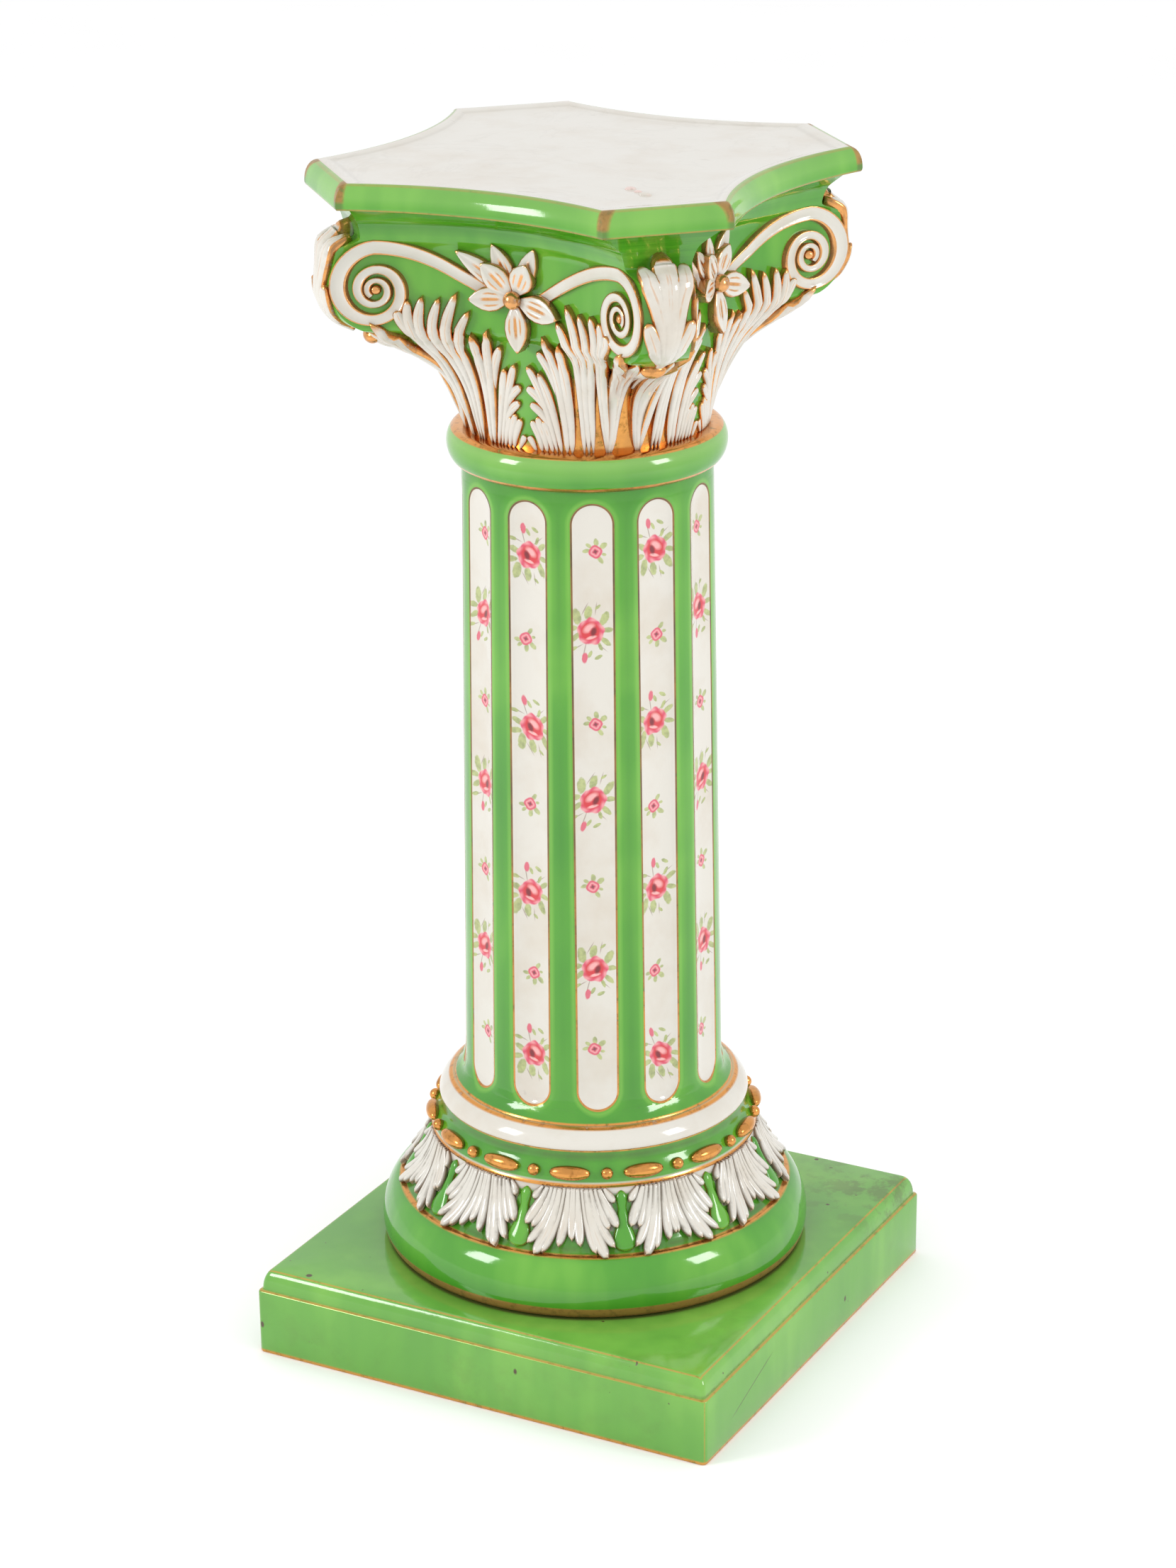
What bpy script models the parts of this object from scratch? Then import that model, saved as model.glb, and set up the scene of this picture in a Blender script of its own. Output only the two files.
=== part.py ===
# Glazed earthenware pedestal: a square plinth with a fluted column standing on it. The column is one
# casting: torus base, collar of leaves, beaded band, twelve flutes, leafy capital with corner volutes.
# Metres, +Z up. The front face of the plinth looks along -Y and the origin is under its centre.
import math

import bmesh
import bpy
from mathutils import Vector

# sizes of the plinth
plinth_side = 0.3362
plinth_face = 0.0459            # height of the plain upright face
plinth_step = 0.0022            # small flat step above the face
plinth_ovolo_rise = 0.0132      # quarter round up to the top face
plinth_ovolo_run = 0.0062
plinth_corner = 0.0035          # rounding of the upright corners
seat_gap = 0.0003               # hairline joint under the column

# sizes of the column's base, from the bottom up
base_foot_radius = 0.1374
base_torus_swell = 0.0104
base_torus_height = 0.0403
collar_radius = 0.1297          # lower rim of the leaf collar
collar_height = 0.0394
collar_dip = 0.0024             # hollow of the collar between its rims
leaf_count = 11
leaf_relief = 0.0042
leaf_turn = math.radians(-69.2)
bead_rim_radius = 0.1087
bead_band_height = 0.0231
bead_count = 14
bead_relief = 0.0035
bead_turn = math.radians(-70.4)
ring_radius = 0.1025            # white half round under the shaft
ring_height = 0.0139
ring_swell = 0.0042
foot_radius = 0.0940            # flare where the shaft starts
foot_height = 0.0150

# sizes of the shaft and its flutes
shaft_radius_low = 0.0862
shaft_radius_top = 0.0806
shaft_height = 0.4119
flute_count = 12
flute_width = 0.0262
flute_depth = 0.0030
flute_margin = 0.0080           # plain shaft above and below the flutes
neck_height = 0.0245
neck_swell = 0.0084
neck_top_radius = 0.0823

# sizes of the capital
bell_radius = 0.0770
bell_side = 0.0885              # from the axis to the middle of a side, at volute height
bell_height = 0.1559
side_curve = 3.48               # a side runs out as its middle distance plus side_curve times x squared
tip_reach = 0.1405              # leaf tip, measured along the diagonal
horn_reach = 0.1700             # corner scroll, measured along the diagonal
horn_relief = 0.0030            # leaf up the front of the scroll
acanthus_relief = 0.0046
volute_x = 0.0840               # centre of a volute, from the middle of its side
volute_drop = 0.0552            # and below the slab
volute_radius = 0.0266
volute_shrink = 0.84            # radius left after each quarter turn
volute_turns = 1.6
volute_lift = 0.0030
volute_band = 0.28              # width of the band as a share of its radius
volute_rim = 0.0010             # scroll edge beyond the band
arch_span = 0.0660              # from the volute to the flower
flower_radius = 0.0330
flower_lift = 0.0065
flower_drop = 0.0573

# sizes of the top slab
slab_height = 0.0157          # quarter round, widest at its lower edge
slab_side = 0.1230              # from the axis to the middle of a hollow side
slab_diagonal = 0.1608          # from the axis to a cut corner
slab_cut = 0.0380               # half length of a cut corner
slab_swell = 0.0085
slab_hollow = 0.0110            # depth of the hollow under a cut corner

round_steps = 40
half_turn = math.pi
full_turn = 2.0 * math.pi

for old in list(bpy.data.objects):
    bpy.data.objects.remove(old, do_unlink=True)


def material(name, colour, roughness):
    made = bpy.data.materials.new(name)
    made.use_nodes = True
    shader = made.node_tree.nodes["Principled BSDF"]
    shader.inputs["Base Color"].default_value = (*colour, 1.0)
    shader.inputs["Roughness"].default_value = roughness
    shader.inputs["Metallic"].default_value = 0.0
    return made


def put(name, mesh, look):
    thing = bpy.data.objects.new(name, mesh)
    bpy.context.collection.objects.link(thing)
    thing.data.materials.clear()
    thing.data.materials.append(look)
    return thing


def stack(bm, rings):
    # skins a pile of closed rings, bottom to top, and caps both ends; rings may differ in their counts
    loops = [[bm.verts.new(p) for p in ring] for ring in rings]
    for low, high in zip(loops, loops[1:]):
        if len(low) == len(high):
            n = len(low)
            for i in range(n):
                j = (i + 1) % n
                bm.faces.new((low[i], low[j], high[j], high[i]))
        else:
            zip_rings(bm, low, high)
    bm.faces.new(loops[0][::-1])
    bm.faces.new(loops[-1])


def zip_rings(bm, low, high):
    # joins two rings of different counts with triangles, always stepping the ring that lags in angle
    def angles(ring, start):
        out, last = [], None
        for v in ring:
            a = math.atan2(v.co.y, v.co.x)
            if last is None:
                while a < start - half_turn:
                    a += full_turn
                while a > start + half_turn:
                    a -= full_turn
            else:
                while a < last - 1e-6:
                    a += full_turn
            out.append(a)
            last = a
        return out + [out[0] + full_turn]
    first = math.atan2(low[0].co.y, low[0].co.x)
    near = min(range(len(high)), key=lambda k: abs(math.remainder(
        math.atan2(high[k].co.y, high[k].co.x) - first, full_turn)))
    high = high[near:] + high[:near]
    la, ha = angles(low, first), angles(high, first)
    i = j = 0
    while i < len(low) or j < len(high):
        step_low = j >= len(high) or (i < len(low) and la[i + 1] <= ha[j + 1])
        a, b = low[i % len(low)], high[j % len(high)]
        if step_low:
            i += 1
            bm.faces.new((a, low[i % len(low)], b))
        else:
            j += 1
            bm.faces.new((a, high[j % len(high)], b))


def turned(radius, z, count=round_steps, start=-half_turn / 2, lift=None):
    # one ring of a turned form, with an optional lift that depends on the angle from the start
    ring = []
    for i in range(count):
        turn = full_turn * i / count
        r = radius + (lift(turn) if lift else 0.0)
        ring.append((r * math.cos(start + turn), r * math.sin(start + turn), z))
    return ring


def roll(low_radius, top_radius, swell, low, height, steps):
    # half round moulding between two rims, without its end rings
    rings = []
    for k in range(1, steps):
        t = 0.5 - 0.5 * math.cos(half_turn * k / steps)
        r = low_radius + (top_radius - low_radius) * t + swell * math.sqrt(1.0 - (2.0 * t - 1.0) ** 2)
        rings.append((r, low + height * t))
    return rings


def smooth(t):
    t = min(max(t, 0.0), 1.0)
    return t * t * (3.0 - 2.0 * t)


def bump(turn, centre, width):
    # one at the centre of a repeat, falling to nothing at the given half width
    away = abs(math.remainder(turn - centre, full_turn)) / width
    return math.sqrt(1.0 - away * away) if away < 1.0 else 0.0


# plinth: a rounded square drawn in at each level
def square(side, corner, z, steps=3):
    ring, reach = [], side / 2 - corner
    for quarter in range(4):
        turn = -half_turn / 2 + quarter * half_turn / 2
        centre = [(reach, -reach), (reach, reach), (-reach, reach), (-reach, -reach)][quarter]
        for k in range(steps + 1):
            a = turn + half_turn / 2 * k / steps
            ring.append((centre[0] + corner * math.cos(a), centre[1] + corner * math.sin(a), z))
    return ring


def make_plinth():
    bm = bmesh.new()
    edge = 0.0010
    rings = [square(plinth_side - 2 * edge, plinth_corner, 0.0),
             square(plinth_side, plinth_corner, edge),
             square(plinth_side, plinth_corner, plinth_face - edge),
             square(plinth_side - edge, plinth_corner, plinth_face)]
    base = plinth_side - 2 * plinth_step
    ovolo_low = plinth_face + plinth_step * 0.4
    rings.append(square(base, plinth_corner, ovolo_low))
    for k in range(1, 5):
        a = half_turn / 2 * k / 4
        inset = plinth_ovolo_run * (1.0 - math.cos(a))
        rings.append(square(base - 2 * inset, plinth_corner,
                            ovolo_low + plinth_ovolo_rise * math.sin(a)))
    stack(bm, rings)
    mesh = bpy.data.meshes.new("plinth")
    bm.to_mesh(mesh)
    bm.free()
    return mesh, ovolo_low + plinth_ovolo_rise


# capital: each level is a plan of eight equal parts, a hollow side and half of a cut corner
side_steps = 7
front_steps = 3


def plan(z, middle, corner_x, corner_y, reach, hollow, lift=None):
    # middle: side distance; corner: where the side meets the front; reach: front along the diagonal
    part = []
    for i in range(side_steps + 1):
        t = i / side_steps
        angle = math.atan2(corner_x, corner_y)
        far = middle + (math.hypot(corner_x, corner_y) - middle) * t * t
        turned_x, turned_y = far * math.sin(angle * t), far * math.cos(angle * t)
        flat_x, flat_y = corner_x * t, middle + (corner_y - middle) * t * t
        x = turned_x + (flat_x - turned_x) * hollow
        y = turned_y + (flat_y - turned_y) * hollow
        if lift:
            out = lift(x, z, i)
            far = math.hypot(x, y)
            x, y = x * (1 + out / far), y * (1 + out / far)
        part.append((x, y))
    half = (corner_y - corner_x) / math.sqrt(2)
    near = (corner_y + corner_x) / math.sqrt(2)
    for i in range(1, front_steps + 1):
        across = half * (1.0 - i / front_steps)
        along = reach - (reach - near) * (across / half) ** 2 if half > 0 else reach
        if lift:
            along += lift(None, z, side_steps + i)
        part.append(((along - across) / math.sqrt(2), (along + across) / math.sqrt(2)))
    eighth = part[:-1]
    whole = []
    for quarter in range(4):
        c, s = [(1, 0), (0, 1), (-1, 0), (0, -1)][quarter]
        right = eighth
        mirrored = [(y, x) for x, y in part[1:]][::-1]
        for x, y in right + mirrored:
            # the part is drawn towards -Y and then turned to its quarter
            px, py = x, -y
            whole.append((px * c - py * s, px * s + py * c, z))
    return whole


def make_column(seat):
    bm = bmesh.new()
    rings = []
    z = seat + seat_gap
    # torus base
    rings.append(turned(base_foot_radius, z))
    for r, h in roll(base_foot_radius, collar_radius, base_torus_swell, z, base_torus_height, 6):
        rings.append(turned(r, h))
    z += base_torus_height
    # collar of leaves, eight steps to each leaf and the tongue beside it
    pitch = full_turn / leaf_count
    count = leaf_count * 8

    def collar(turn, full):
        near = math.remainder(turn, pitch) / pitch
        step = round(abs(near) * 8)
        return leaf_relief * full * (0.8, 1.0, 0.7, -0.3, 0.6)[step]
    rings.append(turned(collar_radius - leaf_relief * 0.4, z, count, leaf_turn))
    for share, full in ((0.06, 1.0), (0.42, 0.9), (0.97, 0.2)):
        r = collar_radius + (bead_rim_radius - collar_radius) * share
        r -= collar_dip * math.sin(half_turn * share)
        rings.append(turned(r, z + collar_height * share, count, leaf_turn,
                            lambda turn, f=full: collar(turn, f)))
    z += collar_height
    # beaded band, eight steps to each long bead and the round bead beside it
    count = bead_count * 8
    pitch = full_turn / bead_count
    rings.append(turned(bead_rim_radius, z, count, bead_turn))

    def beads(turn):
        step = round(abs(math.remainder(turn, pitch)) / pitch * 8)
        return bead_relief * (1.0, 0.9, 0.35, 0.0, 0.85)[step]
    for share, full, out in ((0.30, 1.0, 0.0010), (0.56, 0.9, 0.0004), (0.76, 0.0, 0.0)):
        r = bead_rim_radius + (ring_radius - bead_rim_radius) * share + out
        rings.append(turned(r, z + bead_band_height * share, count, bead_turn,
                            lambda turn, f=full: f * beads(turn)))
    z += bead_band_height
    # white half round, then the flare of the shaft
    rings.append(turned(ring_radius, z))
    for r, h in roll(ring_radius, foot_radius, ring_swell, z, ring_height, 4):
        rings.append(turned(r, h))
    z += ring_height
    rings.append(turned(foot_radius, z))
    # fluted shaft
    count = flute_count * 6
    start = -half_turn / 2
    step = full_turn / flute_count
    foot_low, shaft_low = z, z + foot_height
    shaft_top = shaft_low + shaft_height
    flute_low, flute_top = foot_low + flute_margin, shaft_top - flute_margin

    def shaft_radius(h):
        t = min(max((h - shaft_low) / shaft_height, 0.0), 1.0)
        r = shaft_radius_low + (shaft_radius_top - shaft_radius_low) * t
        if h < shaft_low:
            f = (shaft_low - h) / foot_height
            r += (foot_radius - shaft_radius_low) * f * f
        return r

    def fluted(h):
        r = shaft_radius(h)
        half = flute_width / 2
        end = min(h - flute_low, flute_top - h)

        def lift(turn):
            across = abs(math.remainder(turn, step)) * r
            if end <= 0.0 or across >= half:
                return 0.0
            room = half if end >= half else math.sqrt(max(half * half - (half - end) ** 2, 0.0))
            return -flute_depth * math.sqrt(max(1.0 - (across / room) ** 2, 0.0)) if across < room else 0.0
        return turned(r, h, count, start, lift)
    half = flute_width / 2
    levels = [foot_low + flute_margin * 0.5, flute_low, flute_low + half * 0.3, flute_low + half,
              flute_top - half, flute_top - half * 0.3, flute_top]
    for h in levels:
        rings.append(fluted(h))
    z = shaft_top
    # neck ring
    rings.append(turned(shaft_radius_top - 0.0004, z))
    for r, h in roll(shaft_radius_top, neck_top_radius, neck_swell, z, neck_height, 5):
        rings.append(turned(r, h))
    z += neck_height
    rings.append(turned(neck_top_radius, z))
    return bm, rings, z


def capital_rings(low):
    top = low + bell_height
    eye = top - volute_drop
    rings = []

    def corner_of(e, w):
        return (e - w) / math.sqrt(2), (e + w) / math.sqrt(2)

    def acanthus(level):
        # leaf line: for each step along a side, how high up the bell the leaf still stands proud
        tops = [0.0, 0.44, 0.49, 0.65, 0.60, 0.56, 0.46, 0.46, 0.46, 0.46, 0.46]
        share = (level - low) / bell_height

        def lift(x, z, i):
            # odd steps are the crests of the leaf's fingers, even ones the grooves between them
            proud = smooth((tops[i] - share) / 0.05 + 0.5)
            return (acanthus_relief if i % 2 else acanthus_relief * 0.25) * proud if i else 0.0
        return lift
    # lower bell: round at the neck, growing out to the leaf tips on the diagonals
    for share, reach, hollow, w in ((0.0, 0.0, 0.0, 0.0), (0.09, 0.01, 0.0, 0.0), (0.19, 0.05, 0.1, 0.06),
                                    (0.27, 0.16, 0.3, 0.2), (0.34, 0.33, 0.6, 0.5), (0.385, 0.57, 0.85, 0.8),
                                    (0.41, 0.86, 1.0, 1.0), (0.44, 1.0, 1.0, 1.0)):
        z = low + bell_height * share
        middle = bell_radius + (bell_side - bell_radius) * smooth(share / 0.75)
        out = bell_radius + (tip_reach - bell_radius) * reach
        width = 0.0125 + (0.0185 - 0.0125) * w
        near = math.sqrt(max(out * out - width * width, 0.0)) - 0.004 * w
        cx, cy = corner_of(near, width)
        rings.append(plan(z, middle, cx, cy, out, hollow, acanthus(z)))
    # corner scrolls: the side ends on the outer turn of the volute
    for turn_share in (-0.93, -0.76, -0.45, -0.05, 0.38, 0.75):
        turn_radius = volute_rim + volute_radius * (1.0 if turn_share < 0 else 1.0 / volute_shrink)
        z = eye + turn_radius * turn_share
        chord = math.sqrt(max(1.0 - turn_share ** 2, 0.0)) * volute_radius + volute_rim
        if turn_share > 0.3:
            chord = max(chord, volute_radius * 0.90)
        cx = volute_x + chord * 0.87
        cy = bell_side + side_curve * cx * cx
        near = (cx + cy) / math.sqrt(2)
        front = near + (horn_reach - (volute_x + volute_radius * 0.87 + bell_side +
                        side_curve * (volute_x + volute_radius * 0.87) ** 2) / math.sqrt(2))
        leaf = acanthus(z)
        # a leaf lies up the front of the scroll, proudest along its ribs
        rings.append(plan(z, bell_side, cx, cy, front, 1.0, lambda x, z, i, f=leaf: f(x, z, i) + (
            horn_relief * (0.3 if i == side_steps + 1 else 1.0 if i == side_steps + 2 else 0.5)
            if i > side_steps else 0.0)))
    z_horn = eye + volute_radius / volute_shrink * 1.02
    # hollow under the slab, with the three lobes of the front leaf over its foot
    for share, out, lobe in ((0.0, 0.0, 1.0), (0.40, 0.16, 1.0), (0.52, 0.27, 0.0), (1.0, 1.0, 0.0)):
        z = z_horn + (top - z_horn) * share
        e = slab_diagonal - slab_hollow * (1.0 - out)
        cx, cy = corner_of(e, slab_cut * (0.55 + 0.45 * out))
        middle = bell_side + 0.004 + (slab_side - bell_side - 0.004) * out
        tip = slab_hollow + horn_relief
        rings.append(plan(z, middle, cx, cy, e, 1.0, lambda x, z, i, f=lobe * tip: (
            f * (0.55 if i == side_steps + 1 else 1.0) if i > side_steps else 0.0)))
    return rings, top


def slab_rings(low):
    rings = []
    for t, swell in ((0.0, 0.90), (0.12, 1.0), (0.60, 0.78), (1.0, 0.0)):
        out = slab_swell * swell
        e, w = slab_diagonal + out, slab_cut + out * 0.30
        cx, cy = (e - w) / math.sqrt(2), (e + w) / math.sqrt(2)
        rings.append(plan(low + slab_height * t, slab_side + out, cx, cy, e, 1.0))
    return rings


def side_point(x, z, lift):
    # a point over the hollow side that faces -Y
    return x, -(bell_side + side_curve * x * x + lift), z


def volute_path(eye):
    # centre line and half width of one band: it springs from the flower, arches over and winds in
    path = []
    top = volute_radius / volute_shrink
    for k in range(4):
        t = k / 4
        x = volute_x - arch_span * (1.0 - t)
        rise = math.sin(half_turn / 2 * (0.12 + 0.88 * t))
        half = volute_band * volute_radius * (0.36 + 0.14 * t) / volute_shrink
        path.append((x, eye + top * rise - half - 0.0035 * (1.0 - t), half))
    steps = round(volute_turns * 8)
    for k in range(steps + 1):
        turns = k / 8
        r = top * volute_shrink ** (4.0 * turns)
        half = max(volute_band * r * 0.5, 0.0009)
        a = half_turn / 2 - full_turn * turns
        path.append((volute_x + (r - half) * math.cos(a) * 0.87, eye + (r - half) * math.sin(a), half))
    return path


def make_volutes(eye):
    bm = bmesh.new()
    path = volute_path(eye)
    sink = 0.0022
    for quarter in range(4):
        c, s = [(1, 0), (0, 1), (-1, 0), (0, -1)][quarter]
        for hand in (1, -1):
            sections = []
            for k, (x, z, half) in enumerate(path):
                bx, bz, _ = path[max(k - 1, 0)]
                ax, az, _ = path[min(k + 1, len(path) - 1)]
                length = math.hypot(ax - bx, az - bz)
                nx, nz = -(az - bz) / length * half, (ax - bx) / length * half
                corners = []
                for side, lift in ((1, -sink), (1, volute_lift), (-1, volute_lift), (-1, -sink)):
                    px, py, pz = side_point(x + side * nx, z + side * nz, lift)
                    px *= hand
                    corners.append(bm.verts.new((px * c - py * s, px * s + py * c, pz)))
                sections.append(corners if hand > 0 else corners[::-1])
            for a, b in zip(sections, sections[1:]):
                for i in range(4):
                    j = (i + 1) % 4
                    bm.faces.new((a[i], a[j], b[j], b[i]))
            bm.faces.new(sections[0][::-1])
            bm.faces.new(sections[-1])
    bmesh.ops.recalc_face_normals(bm, faces=bm.faces)
    mesh = bpy.data.meshes.new("volutes")
    bm.to_mesh(mesh)
    bm.free()
    return mesh


def make_flowers(heart):
    # five petals and, behind them, four leaf points that reach up to the slab
    tips = [(-90, 1.0), (-18, 0.94), (37, 1.30), (67, 1.04), (113, 1.04), (143, 1.30), (198, 0.94)]
    bm = bmesh.new()
    sink = 0.0030
    for quarter in range(4):
        c, s = [(1, 0), (0, 1), (-1, 0), (0, -1)][quarter]

        def point(x, z, lift):
            px, py, pz = side_point(x, z, lift)
            return bm.verts.new((px * c - py * s, px * s + py * c, pz))
        outline = []
        for k, (turn, share) in enumerate(tips):
            following = tips[(k + 1) % len(tips)][0] + (360 if k == len(tips) - 1 else 0)
            apart = following - turn
            after = tips[(k + 1) % len(tips)][1]
            wide = min(22.0, apart * 0.30)
            for angle, reach, up in ((turn, share, 0.35), (turn + wide, share * 0.68, 0.6),
                                     (turn + apart / 2, 0.42, 0.3), (following - wide, after * 0.68, 0.6)):
                a = math.radians(angle)
                outline.append((flower_radius * reach * math.cos(a),
                                heart + flower_radius * reach * math.sin(a), up))
        low = [point(x, z, -sink) for x, z, _ in outline]
        high = [point(x, z, flower_lift * up) for x, z, up in outline]
        boss = point(0.0, heart, flower_lift * 1.5)
        for i in range(len(outline)):
            j = (i + 1) % len(outline)
            bm.faces.new((low[i], low[j], high[j], high[i]))
            bm.faces.new((high[i], high[j], boss))
        bm.faces.new(low[::-1])
    bmesh.ops.recalc_face_normals(bm, faces=bm.faces)
    mesh = bpy.data.meshes.new("flowers")
    bm.to_mesh(mesh)
    bm.free()
    return mesh


plinth_mesh, seat = make_plinth()
green = material("apple green glaze", (0.13, 0.42, 0.09), 0.18)
ivory = material("ivory and green glaze", (0.55, 0.72, 0.42), 0.18)
plinth = put("plinth", plinth_mesh, green)

bm, rings, neck_top = make_column(seat)
upper, slab_low = capital_rings(neck_top)
stack(bm, rings + upper + slab_rings(slab_low))
column_mesh = bpy.data.meshes.new("column")
bm.to_mesh(column_mesh)
bm.free()
column = put("column", column_mesh, ivory)
# the carving of the capital is joined to the casting
for name, mesh in (("volutes", make_volutes(slab_low - volute_drop)),
                   ("flowers", make_flowers(slab_low - flower_drop))):
    carving = put(name, mesh, ivory)
    carving.hide_render = True
    carving.display_type = 'WIRE'
    join = column.modifiers.new(name, 'BOOLEAN')
    join.operation = 'UNION'
    join.solver = 'EXACT'
    join.object = carving
for thing in (plinth, column):
    thing.data.shade_smooth()
    thing.data.set_sharp_from_angle(angle=math.radians(32))
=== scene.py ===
# Glazed pedestal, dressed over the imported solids: plinth, moulded base, fluted shaft, leafy capital
import math

import bmesh
import bpy
import numpy as np
from mathutils import Matrix, Vector


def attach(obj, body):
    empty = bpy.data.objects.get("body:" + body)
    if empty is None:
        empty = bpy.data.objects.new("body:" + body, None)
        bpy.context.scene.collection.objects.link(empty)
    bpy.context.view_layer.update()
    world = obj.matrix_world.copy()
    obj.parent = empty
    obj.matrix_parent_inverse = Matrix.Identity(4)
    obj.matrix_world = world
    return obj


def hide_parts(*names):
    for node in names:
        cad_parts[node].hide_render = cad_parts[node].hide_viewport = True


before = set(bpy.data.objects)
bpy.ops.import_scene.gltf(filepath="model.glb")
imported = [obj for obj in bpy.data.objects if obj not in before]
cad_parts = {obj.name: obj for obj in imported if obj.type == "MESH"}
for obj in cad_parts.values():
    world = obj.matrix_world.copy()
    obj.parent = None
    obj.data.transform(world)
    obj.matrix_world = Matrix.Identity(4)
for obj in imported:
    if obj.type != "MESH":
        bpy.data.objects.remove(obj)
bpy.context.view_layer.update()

pi, root2 = math.pi, math.sqrt(2)


class Sizes(dict):
    # a dictionary whose values read as sizes.name
    __getattr__ = dict.__getitem__


# shader helpers
class Wire:
    # one output of a shader tree, so that masks and colours can be written as sums
    def __init__(self, glaze, socket):
        self.glaze, self.socket = glaze, socket

    def math(self, kind, *others, clamp=False):
        settings = dict(operation=kind, use_clamp=clamp)
        return self.glaze.add('ShaderNodeMath', settings, dict(enumerate((self, *others))))

    def __rsub__(self, other): return self * -1 + other
    def __rtruediv__(self, other): return self.math('POWER', -1) * other
    def clip(self): return self.math('ADD', 0, clamp=True)
    def wrap(self, low, high): return self.math('WRAP', high, low)

    # one inside a limit, nothing past it, over a soft edge
    def under(self, limit, soft): return ((limit - self) / soft + 0.5).clip()
    def over(self, limit, soft): return ((self - limit) / soft + 0.5).clip()
    def near(self, middle, half, soft): return abs(self - middle).under(half, soft)


# one node each; a.turn(b) is the angle of the place (b, a)
for name, kind in dict(
        __add__='ADD', __radd__='ADD', __sub__='SUBTRACT', __mul__='MULTIPLY', __rmul__='MULTIPLY',
        __truediv__='DIVIDE', __abs__='ABSOLUTE', low='MINIMUM', high='MAXIMUM', sin='SINE', root='SQRT',
        turn='ARCTAN2', floor='FLOOR').items():
    setattr(Wire, name, lambda self, *others, kind=kind: self.math(kind, *others))


class Glaze:
    # one material and its tree
    def __init__(self, name, ior=1.62, metal=0):
        self.material = bpy.data.materials.new(name)
        self.material.use_nodes = True
        self.tree = self.material.node_tree
        self.tree.nodes.clear()
        self.shader = self.tree.nodes.new('ShaderNodeBsdfPrincipled')
        out = self.tree.nodes.new('ShaderNodeOutputMaterial')
        self.tree.links.new(self.shader.outputs[0], out.inputs[0])
        self.feed(self.shader.inputs['IOR'], ior)
        self.feed(self.shader.inputs['Metallic'], metal)
        self.place = self.add('ShaderNodeTexCoord', {}, {}, 'Object')
        split = self.add('ShaderNodeSeparateXYZ', {}, {0: self.place}, None)
        self.x, self.y, self.z = (Wire(self, split.outputs[i]) for i in range(3))

    def feed(self, socket, value):
        # a wire, the name of a paint, a colour or vector, or a number
        if isinstance(value, Wire):
            self.tree.links.new(value.socket, socket)
            return
        value = paints[value] if isinstance(value, str) else value
        colour = isinstance(value, tuple) and len(socket.default_value) == 4
        socket.default_value = (*value, 1) if colour else value

    def add(self, kind, settings, sockets, out=0):
        node = self.tree.nodes.new(kind)
        for key, value in settings.items():
            setattr(node, key, value)
        for key, value in sockets.items():
            self.feed(node.inputs[key], value)
        return node if out is None else Wire(self, node.outputs[out])

    def blend(self, one, two, share):
        settings = dict(data_type='RGBA', clamp_factor=True)
        return self.add('ShaderNodeMix', settings, {0: share, 6: one, 7: two}, 2)

    def noise(self, scale, detail=3, rough=0.55, at=None, warp=0):
        return self.add('ShaderNodeTexNoise', {}, {'Vector': at or self.place, 'Scale': scale, 'Detail': detail,
                                                   'Roughness': rough, 'Distortion': warp})

    def stretch(self, by):
        return self.add('ShaderNodeVectorMath', dict(operation='MULTIPLY'), {0: self.place, 1: by})

    def mark(self, name):
        # a value stored on the mesh
        return self.add('ShaderNodeAttribute', dict(attribute_name=name), {}, 'Fac')

    def finish(self, colour, rough, metal=None, bump=None):
        if bump is not None:
            bump = self.add('ShaderNodeBump', {}, {'Height': bump, 'Strength': 1, 'Distance': finishLook.bump})
        for key, value in (('Base Color', colour), ('Roughness', rough), ('Metallic', metal), ('Normal', bump)):
            if value is not None:
                self.feed(self.shader.inputs[key], value)
        return self.material


def hypot(u, v):
    return (u * u + v * v).root()


def linear(r, g, b):
    return tuple(c / 3294.6 if c < 10.3 else ((c / 255 + 0.055) / 1.055) ** 2.4 for c in (r, g, b))


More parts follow.
